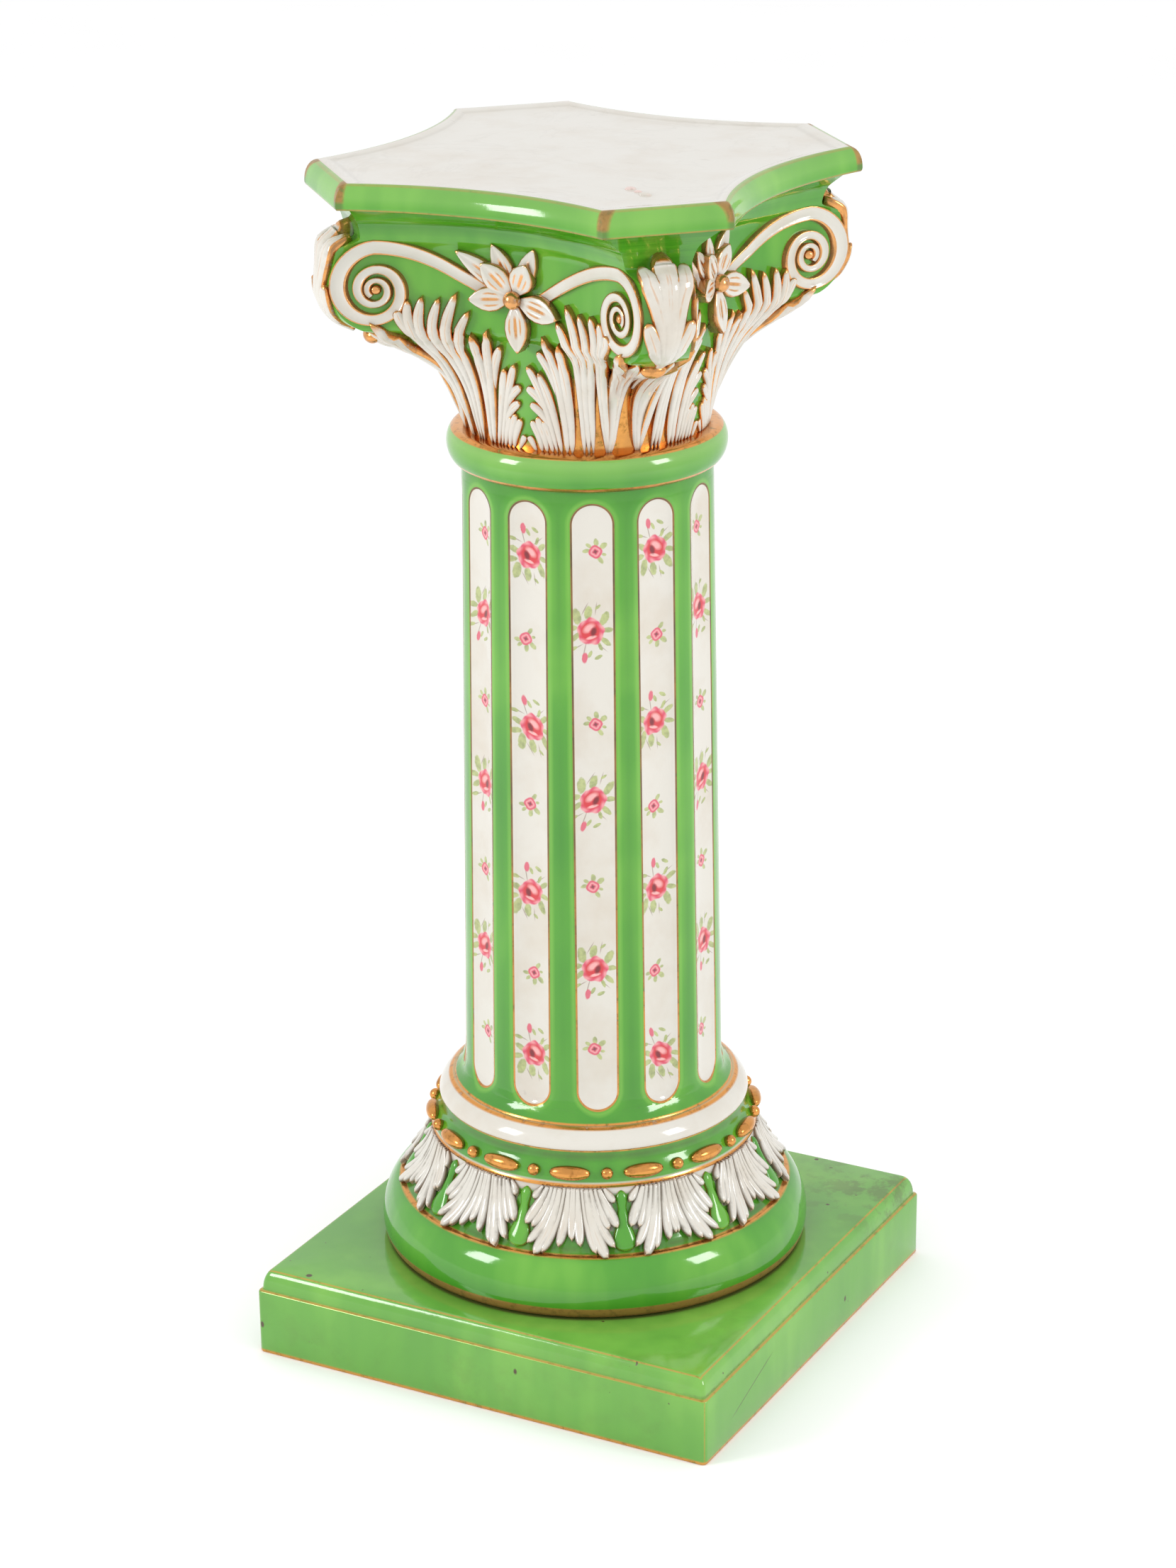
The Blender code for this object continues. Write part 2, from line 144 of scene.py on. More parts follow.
# mesh helpers
def makePiece(name, patches, material, sharp=None):
    # each patch is a grid of points (rows, columns, 3), closed round its columns and run together to one point
    # at both ends, so the shell is closed; its marks are values stored for each point
    points, quads, heads, tails, marks, start = [], [], [], [], {}, 0
    for grid, extra in patches:
        rows, columns = grid.shape[:2]
        points += [grid.reshape(-1, 3), grid[:1].mean(1), grid[-1:].mean(1)]
        ring = np.arange(columns)
        ahead = (ring + 1) % columns
        low = start + np.arange(rows - 1)[:, None] * columns
        high, last, tip = low + columns, start + (rows - 1) * columns, np.full(columns, start + rows * columns)
        quads.append(np.stack([low + ring, low + ahead, high + ahead, high + ring], -1).reshape(-1, 4))
        heads.append(np.stack([start + ring, tip, start + ahead], -1))
        tails.append(np.stack([last + ring, last + ahead, tip + 1], -1))
        for key, value in extra.items():
            full = np.broadcast_to(value, (rows, columns))
            marks.setdefault(key, []).append(np.concatenate([full.ravel(), [full[0].mean(), full[-1].mean()]]))
        start += rows * columns + 2
    faces = [np.concatenate(kind) for kind in (quads, heads, tails)]
    corners = np.concatenate([kind.ravel() for kind in faces]).astype(np.int32)
    totals = np.concatenate([np.full(len(kind), kind.shape[1]) for kind in faces])
    mesh = bpy.data.meshes.new(name)
    mesh.vertices.add(start)
    mesh.vertices.foreach_set("co", np.concatenate(points).astype(np.float32).ravel())
    mesh.loops.add(len(corners))
    mesh.loops.foreach_set("vertex_index", corners)
    mesh.polygons.add(len(totals))
    mesh.polygons.foreach_set("loop_start", (np.cumsum(totals) - totals).astype(np.int32))
    for key, parts in marks.items():
        layer = mesh.attributes.new(key, 'FLOAT', 'POINT')
        layer.data.foreach_set("value", np.concatenate(parts).astype(np.float32))
    mesh.update(calc_edges=True)
    mesh.validate()
    shell = bmesh.new()
    shell.from_mesh(mesh)
    bmesh.ops.recalc_face_normals(shell, faces=shell.faces)
    shell.to_mesh(mesh)
    shell.free()
    mesh.shade_smooth()
    if sharp:
        mesh.set_sharp_from_angle(angle=math.radians(sharp))
    thing = bpy.data.objects.new(name, mesh)
    bpy.context.collection.objects.link(thing)
    mesh.materials.append(material)
    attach(thing, "root")
    print("made", name, len(totals), "faces")
    return thing


def polar(r, angle, z):
    # x = r cos a, y = r sin a
    return np.stack(np.broadcast_arrays(r * np.cos(angle), r * np.sin(angle), z), -1)


def overDiagonal(grid):
    # mirrored across the diagonal between the -Y and the +X side
    return np.stack([-grid[..., 1], -grid[..., 0], grid[..., 2]], -1)


def lathe(radius, height, count):
    # a profile carried round the axis
    angle = np.arange(count) * 2 * pi / count - pi / 2
    return polar(np.concatenate(radius)[:, None], angle, np.concatenate(height)[:, None]), {}


def monotone(at, knots, values):
    # smooth curve through the knots that never overshoots them (cubic with limited slopes)
    knots, values = np.asarray(knots, float), np.asarray(values, float)
    step = np.diff(knots)
    slope = np.diff(values) / step
    tangent = np.zeros_like(values)
    both = slope[:-1] * slope[1:] > 0
    tangent[1:-1] = np.where(both, 2 * slope[:-1] * slope[1:] / np.where(both, slope[:-1] + slope[1:], 1), 0)
    tangent[0], tangent[-1] = slope[0], slope[-1]
    i = np.clip(np.searchsorted(knots, at, side='right') - 1, 0, len(step) - 1)
    t = (at - knots[i]) / step[i]
    return ((1 + 2 * t) * (1 - t) ** 2 * values[i] + t * (1 - t) ** 2 * step[i] * tangent[i]
            + t * t * (3 - 2 * t) * values[i + 1] + t * t * (t - 1) * step[i] * tangent[i + 1])


def through(t, first, middle, last):
    # a quadratic that leaves from first, passes middle half way and ends at last
    return (1 - t) ** 2 * first + 2 * t * (1 - t) * (2 * middle - (first + last) / 2) + t * t * last


def closing(t, start, least):
    # one up to start, then falling round to the tip
    return np.sqrt(np.maximum(1 - np.clip((t - start) / (1 - start), 0, 1) ** 2.4, least))


def unit(v):
    return v / np.linalg.norm(v, axis=-1, keepdims=True)


def crosswise(path, out):
    # the directions across a path and out of it, square to the way it runs
    run = unit(np.gradient(path, axis=0))
    across = unit(np.cross(run, out))
    return across, np.cross(across, run)


def tube(path, across, out, width, rise, depth, around=14, crease=0):
    # a closed ribbed strip along a path: at each station a flattened loop, w cos f across and h sin f out,
    # creased along its middle, its lower half sunk to the given depth
    f = np.arange(around) * 2 * pi / around + pi / around
    c, s = np.cos(f), np.sin(f)
    ridge = s * (1 - crease * np.exp(-(c / 0.28) ** 2))
    up = np.where(s > 0, ridge * rise[:, None], s * depth[:, None])
    grid = path[:, None] + across[:, None] * (c * width[:, None])[..., None] + out[:, None] * up[..., None]
    return grid, dict(across=c, along=np.linspace(0, 1, len(path))[:, None])


def ball(rows, columns, blunt=1, trim=0.02):
    # a unit ball as rings about its axis: how far along the axis, then the two ways across it
    lat, lon = np.linspace(trim, pi - trim, rows)[:, None], np.arange(columns) * 2 * pi / columns
    ring = np.sin(lat) ** blunt
    return np.cos(lat) * np.ones(columns), ring * np.cos(lon), ring * np.sin(lon)


def quarters(grid, extra, hands=(1, -1)):
    # a patch drawn on the right half of the -Y side, repeated by mirror and quarter turns
    out = []
    for c, s in ((1, 0), (0, 1), (-1, 0), (0, -1)):
        for hand in hands:
            x, y, z = grid[..., 0] * hand, grid[..., 1], grid[..., 2]
            made = np.stack([x * c - y * s, x * s + y * c, z], -1)
            marks = {key: np.broadcast_to(value, grid.shape[:2])[:, ::hand] for key, value in extra.items()}
            out.append((made[:, ::hand], marks))
    return out


def ringOf(quarter, extra):
    # four turned copies of a quarter, side by side in one patch
    parts = quarters(quarter, extra, (1,))
    return (np.concatenate([grid for grid, _ in parts], 1),
            {key: np.concatenate([marks[key] for _, marks in parts], 1) for key in extra})


# finishes
paints = dict(
    # of the greens, the palest stands for a painted sheen and the darkest for painted shade
    green=linear(82, 156, 36), deepGreen=linear(62, 139, 28), paleGreen=linear(117, 177, 62),
    sheenGreen=linear(158, 200, 112), shadeGreen=linear(44, 116, 20), white=linear(207, 203, 194),
    warmWhite=linear(198, 189, 175), gold=linear(220, 154, 84), darkGold=linear(124, 76, 30),
    grime=linear(74, 60, 34), rose=linear(204, 74, 100), coral=linear(198, 46, 54), heart=linear(92, 10, 24),
    blush=linear(234, 180, 178), leaf=linear(170, 180, 112), darkLeaf=linear(118, 130, 72),
    stem=linear(112, 76, 60))
finishLook = Sizes(rough=0.07, goldRough=0.2, bump=0.0006)


def greenCoat(g, pale=None, shadeShare=None):
    # apple green with slow clouds and a few faint streaks down the body; paler where a painted sheen is asked
    # for, deeper green where painted shade is asked for
    cloud = g.noise(7, 3, 0.5, warp=0.4)
    streak = g.noise(6, 2, 0.5, at=g.stretch((7, 7, 1)))
    tone = (cloud * 0.65 + streak * 0.35 - 0.38) / 0.24
    colour = g.blend('deepGreen', 'green', tone.clip())
    colour = g.blend(colour, 'paleGreen', (tone - 0.55).clip() * 0.7)
    # painted shade: deeper green by the share given
    if shadeShare is not None:
        colour = g.blend(colour, 'shadeGreen', shadeShare)
    # painted sheen: paler green by the share given, for reflections and highlights
    return colour if pale is None else g.blend(colour, 'sheenGreen', pale)


def whiteCoat(g):
    return g.blend('white', 'warmWhite', ((g.noise(22, 4, 0.6) - 0.45) * 3).clip())


def goldCoat(g):
    # gilding, and where it is worn
    wear = g.noise(160, 4, 0.7)
    return g.blend('gold', 'darkGold', ((wear - 0.52) * 5).clip() * 0.8), wear


def compose(g, white=None, gold=None, grime=None, base=None, rough=None):
    # lays white glaze, gilding and grime over the green, or over another coat, in that order
    colour = base or greenCoat(g)
    if white is not None:
        colour = g.blend(colour, whiteCoat(g), white)
    rough = (rough or finishLook.rough) + g.noise(40, 2) * 0.06
    if gold is not None:
        gilt, wear = goldCoat(g)
        gold = gold * (1 - ((wear - 0.62) * 8).clip() * 0.7)
        colour = g.blend(colour, gilt, gold)
        rough = rough * (1 - gold) + gold * finishLook.goldRough
    if grime is not None:
        grime = grime.clip()
        colour = g.blend(colour, 'grime', grime)
        rough = rough + grime * 0.3
        gold = None if gold is None else gold * (1 - grime)
    return g.finish(colour, rough, gold, g.noise(30, 2) * 0.6 + g.noise(260, 2) * 0.05)


# plinth
plinthSizes = Sizes(
    half=0.1681, face=0.0459, step=0.0022, rise=0.0132, run=0.0062, corner=0.0035, edge=0.001, bevel=0.0003,
    # dark specks: place and radius
    specks=[(-0.1333, -0.1568, 0.061, 0.0022), (0.0941, 0.157, 0.061, 0.0016), (0.131, 0.096, 0.061, 0.0014),
            (-0.1649, -0.1681, 0.021, 0.0014), (0.03, -0.1681, 0.034, 0.0012), (0.1681, 0.045, 0.02, 0.0013)])


def makePlinth():
    p = plinthSizes
    half, face, edge, bevel = p.half, p.face, p.edge, p.bevel
    low, base = face + p.step * 0.4, half - p.step
    a = np.linspace(0, pi / 2, 14)
    reach = np.concatenate([[half - edge, half - bevel, half, half, half - bevel, half - edge * 0.8, base],
                            base - p.run * (1 - np.cos(a)), [0.13, 0.06, 0.001]])[:, None]
    level = np.concatenate([[0, bevel, edge, face - edge, face - bevel, face, low - 0.0002],
                            low + p.rise * np.sin(a), [low + p.rise] * 3])[:, None]
    # a quarter of the ring is one round corner, then a straight run
    corner = np.minimum(p.corner, reach)
    flat = reach - corner
    turn, share = np.linspace(-pi / 2, 0, 9), np.linspace(-1, 1, 26)[1:-1]
    x = np.concatenate([flat + corner * np.cos(turn), reach + share * 0], 1)
    y = np.concatenate([corner * np.sin(turn) - flat, flat * share], 1)
    g = Glaze("plinth green glaze")
    far, close = abs(g.x).high(abs(g.y)), abs(g.x).low(abs(g.y))
    # gilt lines: over the face, along the floor, round the top and up the corners
    lines = g.z.near(0.046, 0.0004, 0.0005) * far.over(0.15, 0.004) * 0.75
    lines = lines.high(g.z.under(0.0024, 0.0012) * far.over(0.16, 0.002))
    lines = lines.high(far.near(0.1614, 0.0005, 0.0004) * g.z.over(0.058, 0.001) * 0.65)
    lines = lines.high(close.over(0.167, 0.0008) * g.z.under(0.0465, 0.001) * 0.9)
    speck = g.noise(150, 2, 0.5).over(0.76, 0.02) * g.noise(9, 2).over(0.48, 0.1)
    for x0, y0, z0, size in p.specks:
        dx, dy, dz = g.x - x0, g.y - y0, g.z - z0
        speck = speck.high((dx * dx + dy * dy + dz * dz * 0.4).root().under(size, 0.0008))
    # a thin slanting scratch on the right face, seen from the front corner
    run = g.y + 0.0995 - (g.z - 0.025) * 3.2
    scratch = run.near(0, 0.0012, 0.001) * g.z.near(0.025, 0.0085, 0.003) * g.x.over(0.1675, 0.0004)
    seat = hypot(g.x, g.y).near(0.14, 0.002, 0.0025) * g.z.over(0.058, 0.002)
    # smears: a few all over, more at the back right corner and in the step
    cloth = g.noise(60, 4, 0.7)
    smear = g.noise(6, 4, 0.7, warp=1).over(0.58, 0.12) * cloth.over(0.5, 0.2) * 0.12
    back = hypot(g.x - 0.15, g.y - 0.135).under(0.045, 0.06)
    smear = smear.high(back * cloth.over(0.53, 0.12) * g.z.over(0.046, 0.002) * 0.45)
    smear = smear.high(g.z.near(0.0475, 0.0008, 0.0016) * cloth.over(0.5, 0.2) * g.x.over(0.15, 0.02) * 0.5)
    dirt = speck.high(scratch * 0.8).high(seat * 0.8) + smear
    # painted reflection: the coat is paler all over, more in slow clouds, for the sheen of the white room
    coat = greenCoat(g, g.noise(5, 3).over(0.48, 0.5) * 0.14 + 0.12)
    return makePiece("plinthBlock", [ringOf(np.stack([x, y, level + x * 0], -1), {})],
                     compose(g, None, lines * 0.85, dirt, coat), sharp=40)


# base mouldings
baseSizes = Sizes(
    seat=0.0603, foot=0.1374, torusSwell=0.0104, torusTop=0.1006, collar=0.1297, bandLow=0.14,
    bandRadius=0.1087, bandTop=0.1631, ring=0.1025, ringTop=0.177, ringSwell=0.0042, foot2=0.094, leaves=11,
    leafTurn=math.radians(-69.2), beads=14, beadTurn=math.radians(-70.4), beadLevel=0.15, beadRadius=0.109,
    # half length, half thickness and bluntness of a bead
    longBead=(0.0135, 0.0049, 0.8), roundBead=(0.0041, 0.0041, 1))


def rollProfile(r0, r1, swell, z0, z1, count):
    t = 0.5 - 0.5 * np.cos(pi * np.linspace(0, 1, count))
    return r0 + (r1 - r0) * t + swell * np.sqrt(1 - (2 * t - 1) ** 2), z0 + (z1 - z0) * t


def collarRadius(t):
    # hollow cone of the collar, t from its lower rim to the beaded band
    b = baseSizes
    return b.collar - 0.0016 + (b.bandRadius - b.collar + 0.0016) * t - 0.0024 * np.sin(pi * t)


def makeBase():
    b = baseSizes
    r1, z1 = rollProfile(b.foot, b.collar, b.torusSwell, b.seat, b.torusTop, 30)
    t = np.linspace(0, 1, 16)
    z2 = b.torusTop + (b.bandLow - b.torusTop) * t
    # the beaded band swells above its sharp lower rim
    r3 = b.bandRadius + (b.ring - b.bandRadius) * t
    r3 += 0.0022 * np.sin(pi * np.minimum(t * 1.5, 1)) - 0.0008 * np.sin(pi * t)
    r3[:2] += (0.0011, 0.0013)
    z3 = b.bandLow + (b.bandTop - b.bandLow) * t
    r4, z4 = rollProfile(b.ring, b.foot2, b.ringSwell, b.bandTop, b.ringTop, 20)
    body = lathe([[0.001, 0.08, 0.13], r1, collarRadius(t)[1:], r3, r4[1:], [0.08, 0.001]],
                 [[b.seat] * 3, z1, z2[1:], z3, z4[1:], [b.ringTop] * 2], 256)
    g = Glaze("moulded base glaze")
    white = g.z.near((b.bandTop + b.ringTop) / 2, (b.ringTop - b.bandTop) / 2, 0.001)
    foot = g.z.under(b.seat + 0.0085, 0.001)
    lines = foot
    for level, half in ((b.torusTop - 0.0002, 0.0006), (b.bandLow + 0.001, 0.0015),
                        (b.bandTop, 0.0008), (b.ringTop - 0.0008, 0.0008)):
        lines = lines.high(g.z.near(level, half, 0.0008))
    # painted shade: deeper green over the lower half of the torus and in the creases above it and under the
    # white ring
    baseShade = (g.z.under(b.seat + 0.016, 0.016) * 0.6).high(g.z.near(b.bandTop - 0.004, 0.002, 0.005) * 0.45)
    baseShade = baseShade.high(g.z.near(b.torusTop + 0.004, 0.004, 0.006) * 0.35)
    # white and brown ground behind the collar's leaves, where their fingers part
    period = 2 * pi / b.leaves
    share = abs((g.y.turn(g.x) - b.leafTurn).wrap(-period / 2, period / 2)) / collarLeaf.halfTurn
    down = (b.bandLow - g.z) / (b.bandLow - b.torusTop)
    behind = share.under(0.92, 0.05) * down.near(0.33, 0.34, 0.04)
    behind = behind.high(down.near(0.02, 0.1, 0.04) * share.under(1.3, 0.05))
    crease = (g.z.near(b.torusTop + 0.0022, 0.0014, 0.003) * 0.45).high(
        g.z.near(b.bandTop - 0.0035, 0.002, 0.004) * 0.35) * g.noise(60, 4, 0.7).over(0.42, 0.3)
    crease = crease.high(behind * down.over(0.12, 0.1) * 0.62).high(foot * 0.5)
    finish = compose(g, white.high(behind), lines, crease, greenCoat(g, None, baseShade))
    return makePiece("mouldedBase", [body], finish, sharp=50)


collarLeaf = Sizes(halfTurn=math.radians(14.2), lobes=[
    # side and depth where a finger starts, bends and ends, then its half width and how proud it lies in mm
    (0.74, 0, 0.84, 0.1, 0.95, 0.21, 2.8, 0), (0.62, 0, 0.8, 0.3, 1, 0.59, 3.9, 0.8),
    (0.52, 0, 0.66, 0.34, 0.85, 0.63, 3.5, 0), (0.42, 0, 0.6, 0.52, 0.93, 0.88, 3.6, 0.5),
    (0.31, 0, 0.48, 0.6, 0.74, 1.01, 4.6, 0.9), (0.21, 0, 0.36, 0.55, 0.54, 0.96, 3.6, 0),
    (0.11, 0, 0.15, 0.5, 0.24, 0.87, 3.6, 0.4), (0.03, 0, 0.02, 0.45, 0.02, 0.78, 2.8, 0)])


def collarStrip(side, down, middle, wide, rise, lift):
    # a strip laid on the collar: side turns it about the axis, down runs from the beads to the lower rim
    b = baseSizes
    drop = b.bandLow - b.torusTop
    high = b.bandLow - 0.0006 - (drop - 0.0016) * down
    radius = collarRadius((high - b.torusTop) / drop) + lift
    path = polar(radius, middle + side, high)
    return tube(path, *crosswise(path, polar(1, middle + side, 0.55)), wide, rise, rise * 0 + 0.003)


def collarFingers():
    # eleven leaves; every finger is a curve through three places, broadest near its tip and curling out there
    t = np.linspace(0, 1, 22)
    grow = 0.42 + 0.58 * np.sin(pi / 2 * np.clip(t / 0.75, 0, 1)) ** 1.3
    close = closing(t, 0.66, 0.002)
    rise = 0.0026 * (0.45 + 0.55 * t) * close ** 0.5
    patches = []
    for leaf in range(baseSizes.leaves):
        middle = baseSizes.leafTurn + leaf * 2 * pi / baseSizes.leaves
        for k, (s0, d0, s1, d1, s2, d2, wide, proud) in enumerate(collarLeaf.lobes):
            for hand in (-1, 1):
                drift = 0.03 * math.sin(leaf * 2.3 + k * 1.7 + hand)      # no two leaves quite alike
                side = through(t, s0, s1, s2 + drift) * collarLeaf.halfTurn * hand
                down = np.clip(through(t, d0, d1, d2 * (1 + drift * 0.6)), 0, 1.01)
                curl = 0.0034 * t ** 3 * (0.5 + 0.6 * down) + proud * 0.001
                patches.append(collarStrip(side, down, middle, wide * 0.001 * grow * close, rise, 0.001 + curl))
    return patches


def collarTongues():
    # the green tongues between the leaves: a small head, a neck and a broad round foot
    t = np.linspace(0, 1, 34)
    wide = np.interp(t, [0, 0.04, 0.12, 0.22, 0.32, 0.48, 0.6, 0.72, 0.84, 0.93, 0.98, 1],
                     [0.6, 2.6, 4.2, 3.4, 2.8, 4.4, 4.8, 6.8, 8.2, 6.6, 3.8, 0.6]) * 0.001
    rise = 0.003 * np.sqrt(np.maximum(1 - np.abs(2 * t - 1) ** 6, 0.01))
    period = 2 * pi / baseSizes.leaves
    return [collarStrip(t * 0, 0.05 + 0.93 * t, baseSizes.leafTurn + (leaf + 0.5) * period, wide, rise,
                        0.0002 + 0.0012 * t ** 2) for leaf in range(baseSizes.leaves)]


def beadPatches():
    # long and round beads by turns: closed ovals whose long axis bends with the band
    b = baseSizes
    patches = []
    for k in range(2 * b.beads):
        long, thick, blunt = b['roundBead' if k % 2 else 'longBead']
        offset, out, up = ball(17, 20, blunt)
        angle = b.beadTurn + k * pi / b.beads + offset * long / b.beadRadius
        patches.append((polar(b.beadRadius + out * thick, angle, b.beadLevel + up * thick)[:, ::-1], {}))
    return patches


# shaft
shaftSizes = Sizes(
    low=0.177, foot=0.094, flare=0.015, radiusLow=0.0862, radiusTop=0.0806, height=0.4119, flutes=12,
    fluteWidth=0.0262, fluteDepth=0.003, margin=0.008)


def shaftRadius(z):
    s = shaftSizes
    t = np.clip((z - s.low - s.flare) / s.height, 0, 1)
    flare = np.clip((s.low + s.flare - z) / s.flare, 0, 1)
    return s.radiusLow + (s.radiusTop - s.radiusLow) * t + (s.foot - s.radiusLow) * flare ** 2.2


def makeShaft():
    s = shaftSizes
    low, top = s.low, s.low + s.flare + s.height
    fluteLow, fluteTop = low + s.margin, top - s.margin
    half = s.fluteWidth / 2
    bow = half * (1 - np.cos(np.linspace(0, pi / 2, 22)))
    level = np.concatenate([np.linspace(low - 0.002, fluteLow, 9)[:-1], fluteLow + bow,
                            np.linspace(fluteLow + half, fluteTop - half, 60)[1:-1], fluteTop - bow[::-1],
                            np.linspace(fluteTop, top + 0.002, 7)[1:]])
    end = np.minimum(level - fluteLow, fluteTop - level)
    inset = half - np.clip(end, 0, half)
    room = np.where(end >= half, half, np.sqrt(np.maximum(half * half - inset ** 2, 0)))
    # one flute and the rib beside it, then as many copies as there are flutes
    cell = 2 * pi / s.flutes
    inside, outside = np.linspace(-1, 1, 15), np.linspace(0, 1, 6)[1:-1]
    radius = shaftRadius(level)[:, None]
    reach = np.maximum(room, 0.0004)[:, None] / radius
    depth = (room > 0) * s.fluteDepth * np.clip(end / half, 0, 1) ** 0.5
    dip = np.maximum(1 - inside ** 2, 0) ** 0.7 * depth[:, None]
    dip = np.tile(np.pad(dip, ((0, 0), (0, len(outside)))), s.flutes)
    angle = np.concatenate([inside * reach, reach + (cell - 2 * reach) * outside], 1) - pi / 2
    angle = np.concatenate([angle + k * cell for k in range(s.flutes)], 1)
    # the ribs swell a little between the flutes, and scallop the foot
    rib = np.cos(angle * s.flutes + pi) * 0.5 + 0.5
    foot = np.exp(-((level - low - 0.0095) / 0.005) ** 2)[:, None]
    rib = 0.0007 * rib * np.clip((level - fluteLow) / 0.01, 0, 1)[:, None] + 0.0022 * (rib - 0.3) * foot
    grid = polar(radius - dip + rib, angle, level[:, None])
    return makePiece("flutedShaft", [(grid, {})], panelGlaze(fluteLow, fluteTop, half), sharp=55)


# printed sprigs, in mm from the middle of each: across and up, turn in degrees, half length and half width
sprigLook = Sizes(
    pitch=0.1137, big=0.5133, small=0.5665, step=0.0471, smallStep=0.0595, size=0.0095, smallSize=0.0046,
    stems=[(-4.5, -12, 75, 5, 0.35), (-3, 15, 60, 4, 0.35), (4, 15, 80, 3.6, 0.35),
           (-9, -9.8, 25, 3.6, 0.35), (5.8, -9.8, -40, 4.4, 0.35)],
    leaves=[(-8.5, 10.5, 100, 5.5, 2.8), (-1, 12.5, 80, 4.5, 2.4), (9, 8.5, 62, 5.2, 2.3),
            (-12.2, 3.2, 178, 4, 2), (-10, -3, 215, 4.2, 1.9), (10.6, 1.2, 12, 3.6, 1.7),
            (9, -6.5, -40, 4, 1.8), (5.5, -10, -70, 2.8, 1.2), (-11.8, -10.5, 20, 3, 1.3),
            (4, -17, 30, 2.8, 1.2), (-1.2, -15, 60, 2.6, 1.1), (5.2, 16, 40, 2.2, 0.9)],
    bud=(-4.6, -17.2, 82, 3.4, 1.8),
    # inside the open rose: its coral heart, a pale open petal, a shadow, a pale crescent and the dark middle;
    # each with its paint, soft edge and strength
    petals=[('coral', -0.4, 0.2, 40, 6.6, 6, 0.35, 1), ('blush', -1, 2.2, 35, 3.8, 2.2, 0.75, 0.8),
            ('coral', 2, -0.8, 60, 3.6, 2.8, 0.45, 0.9), ('blush', 0.2, -4, 15, 3.2, 1, 0.6, 0.85),
            ('heart', 1.8, -0.2, 70, 3, 1.7, 0.7, 0.85)],
    sprays=[(5, 4, 40, 2.8, 1.7), (0.4, 6, 95, 2.6, 1.6), (-5.6, 0.8, 190, 2.4, 1.3),
            (-4.2, 4, 140, 2, 1.2), (3, -5.2, -55, 2.6, 1.4), (5.4, -1.6, -10, 1.4, 1)])


def oval(px, py, cx, cy, turn, long, wide):
    # how far a place is from a turned ellipse's middle, one on its edge
    c, s = math.cos(math.radians(turn)), math.sin(math.radians(turn))
    dx, dy = px - cx * 0.001, py - cy * 0.001
    return hypot((dx * c + dy * s) / (long * 0.001), (dy * c - dx * s) / (wide * 0.001))


def ovals(px, py, rows, limit, soft):
    # a soft mask of several such ellipses joined
    joined = oval(px, py, *rows[0]).under(limit, soft)
    for row in rows[1:]:
        joined = joined.high(oval(px, py, *row).under(limit, soft))
    return joined


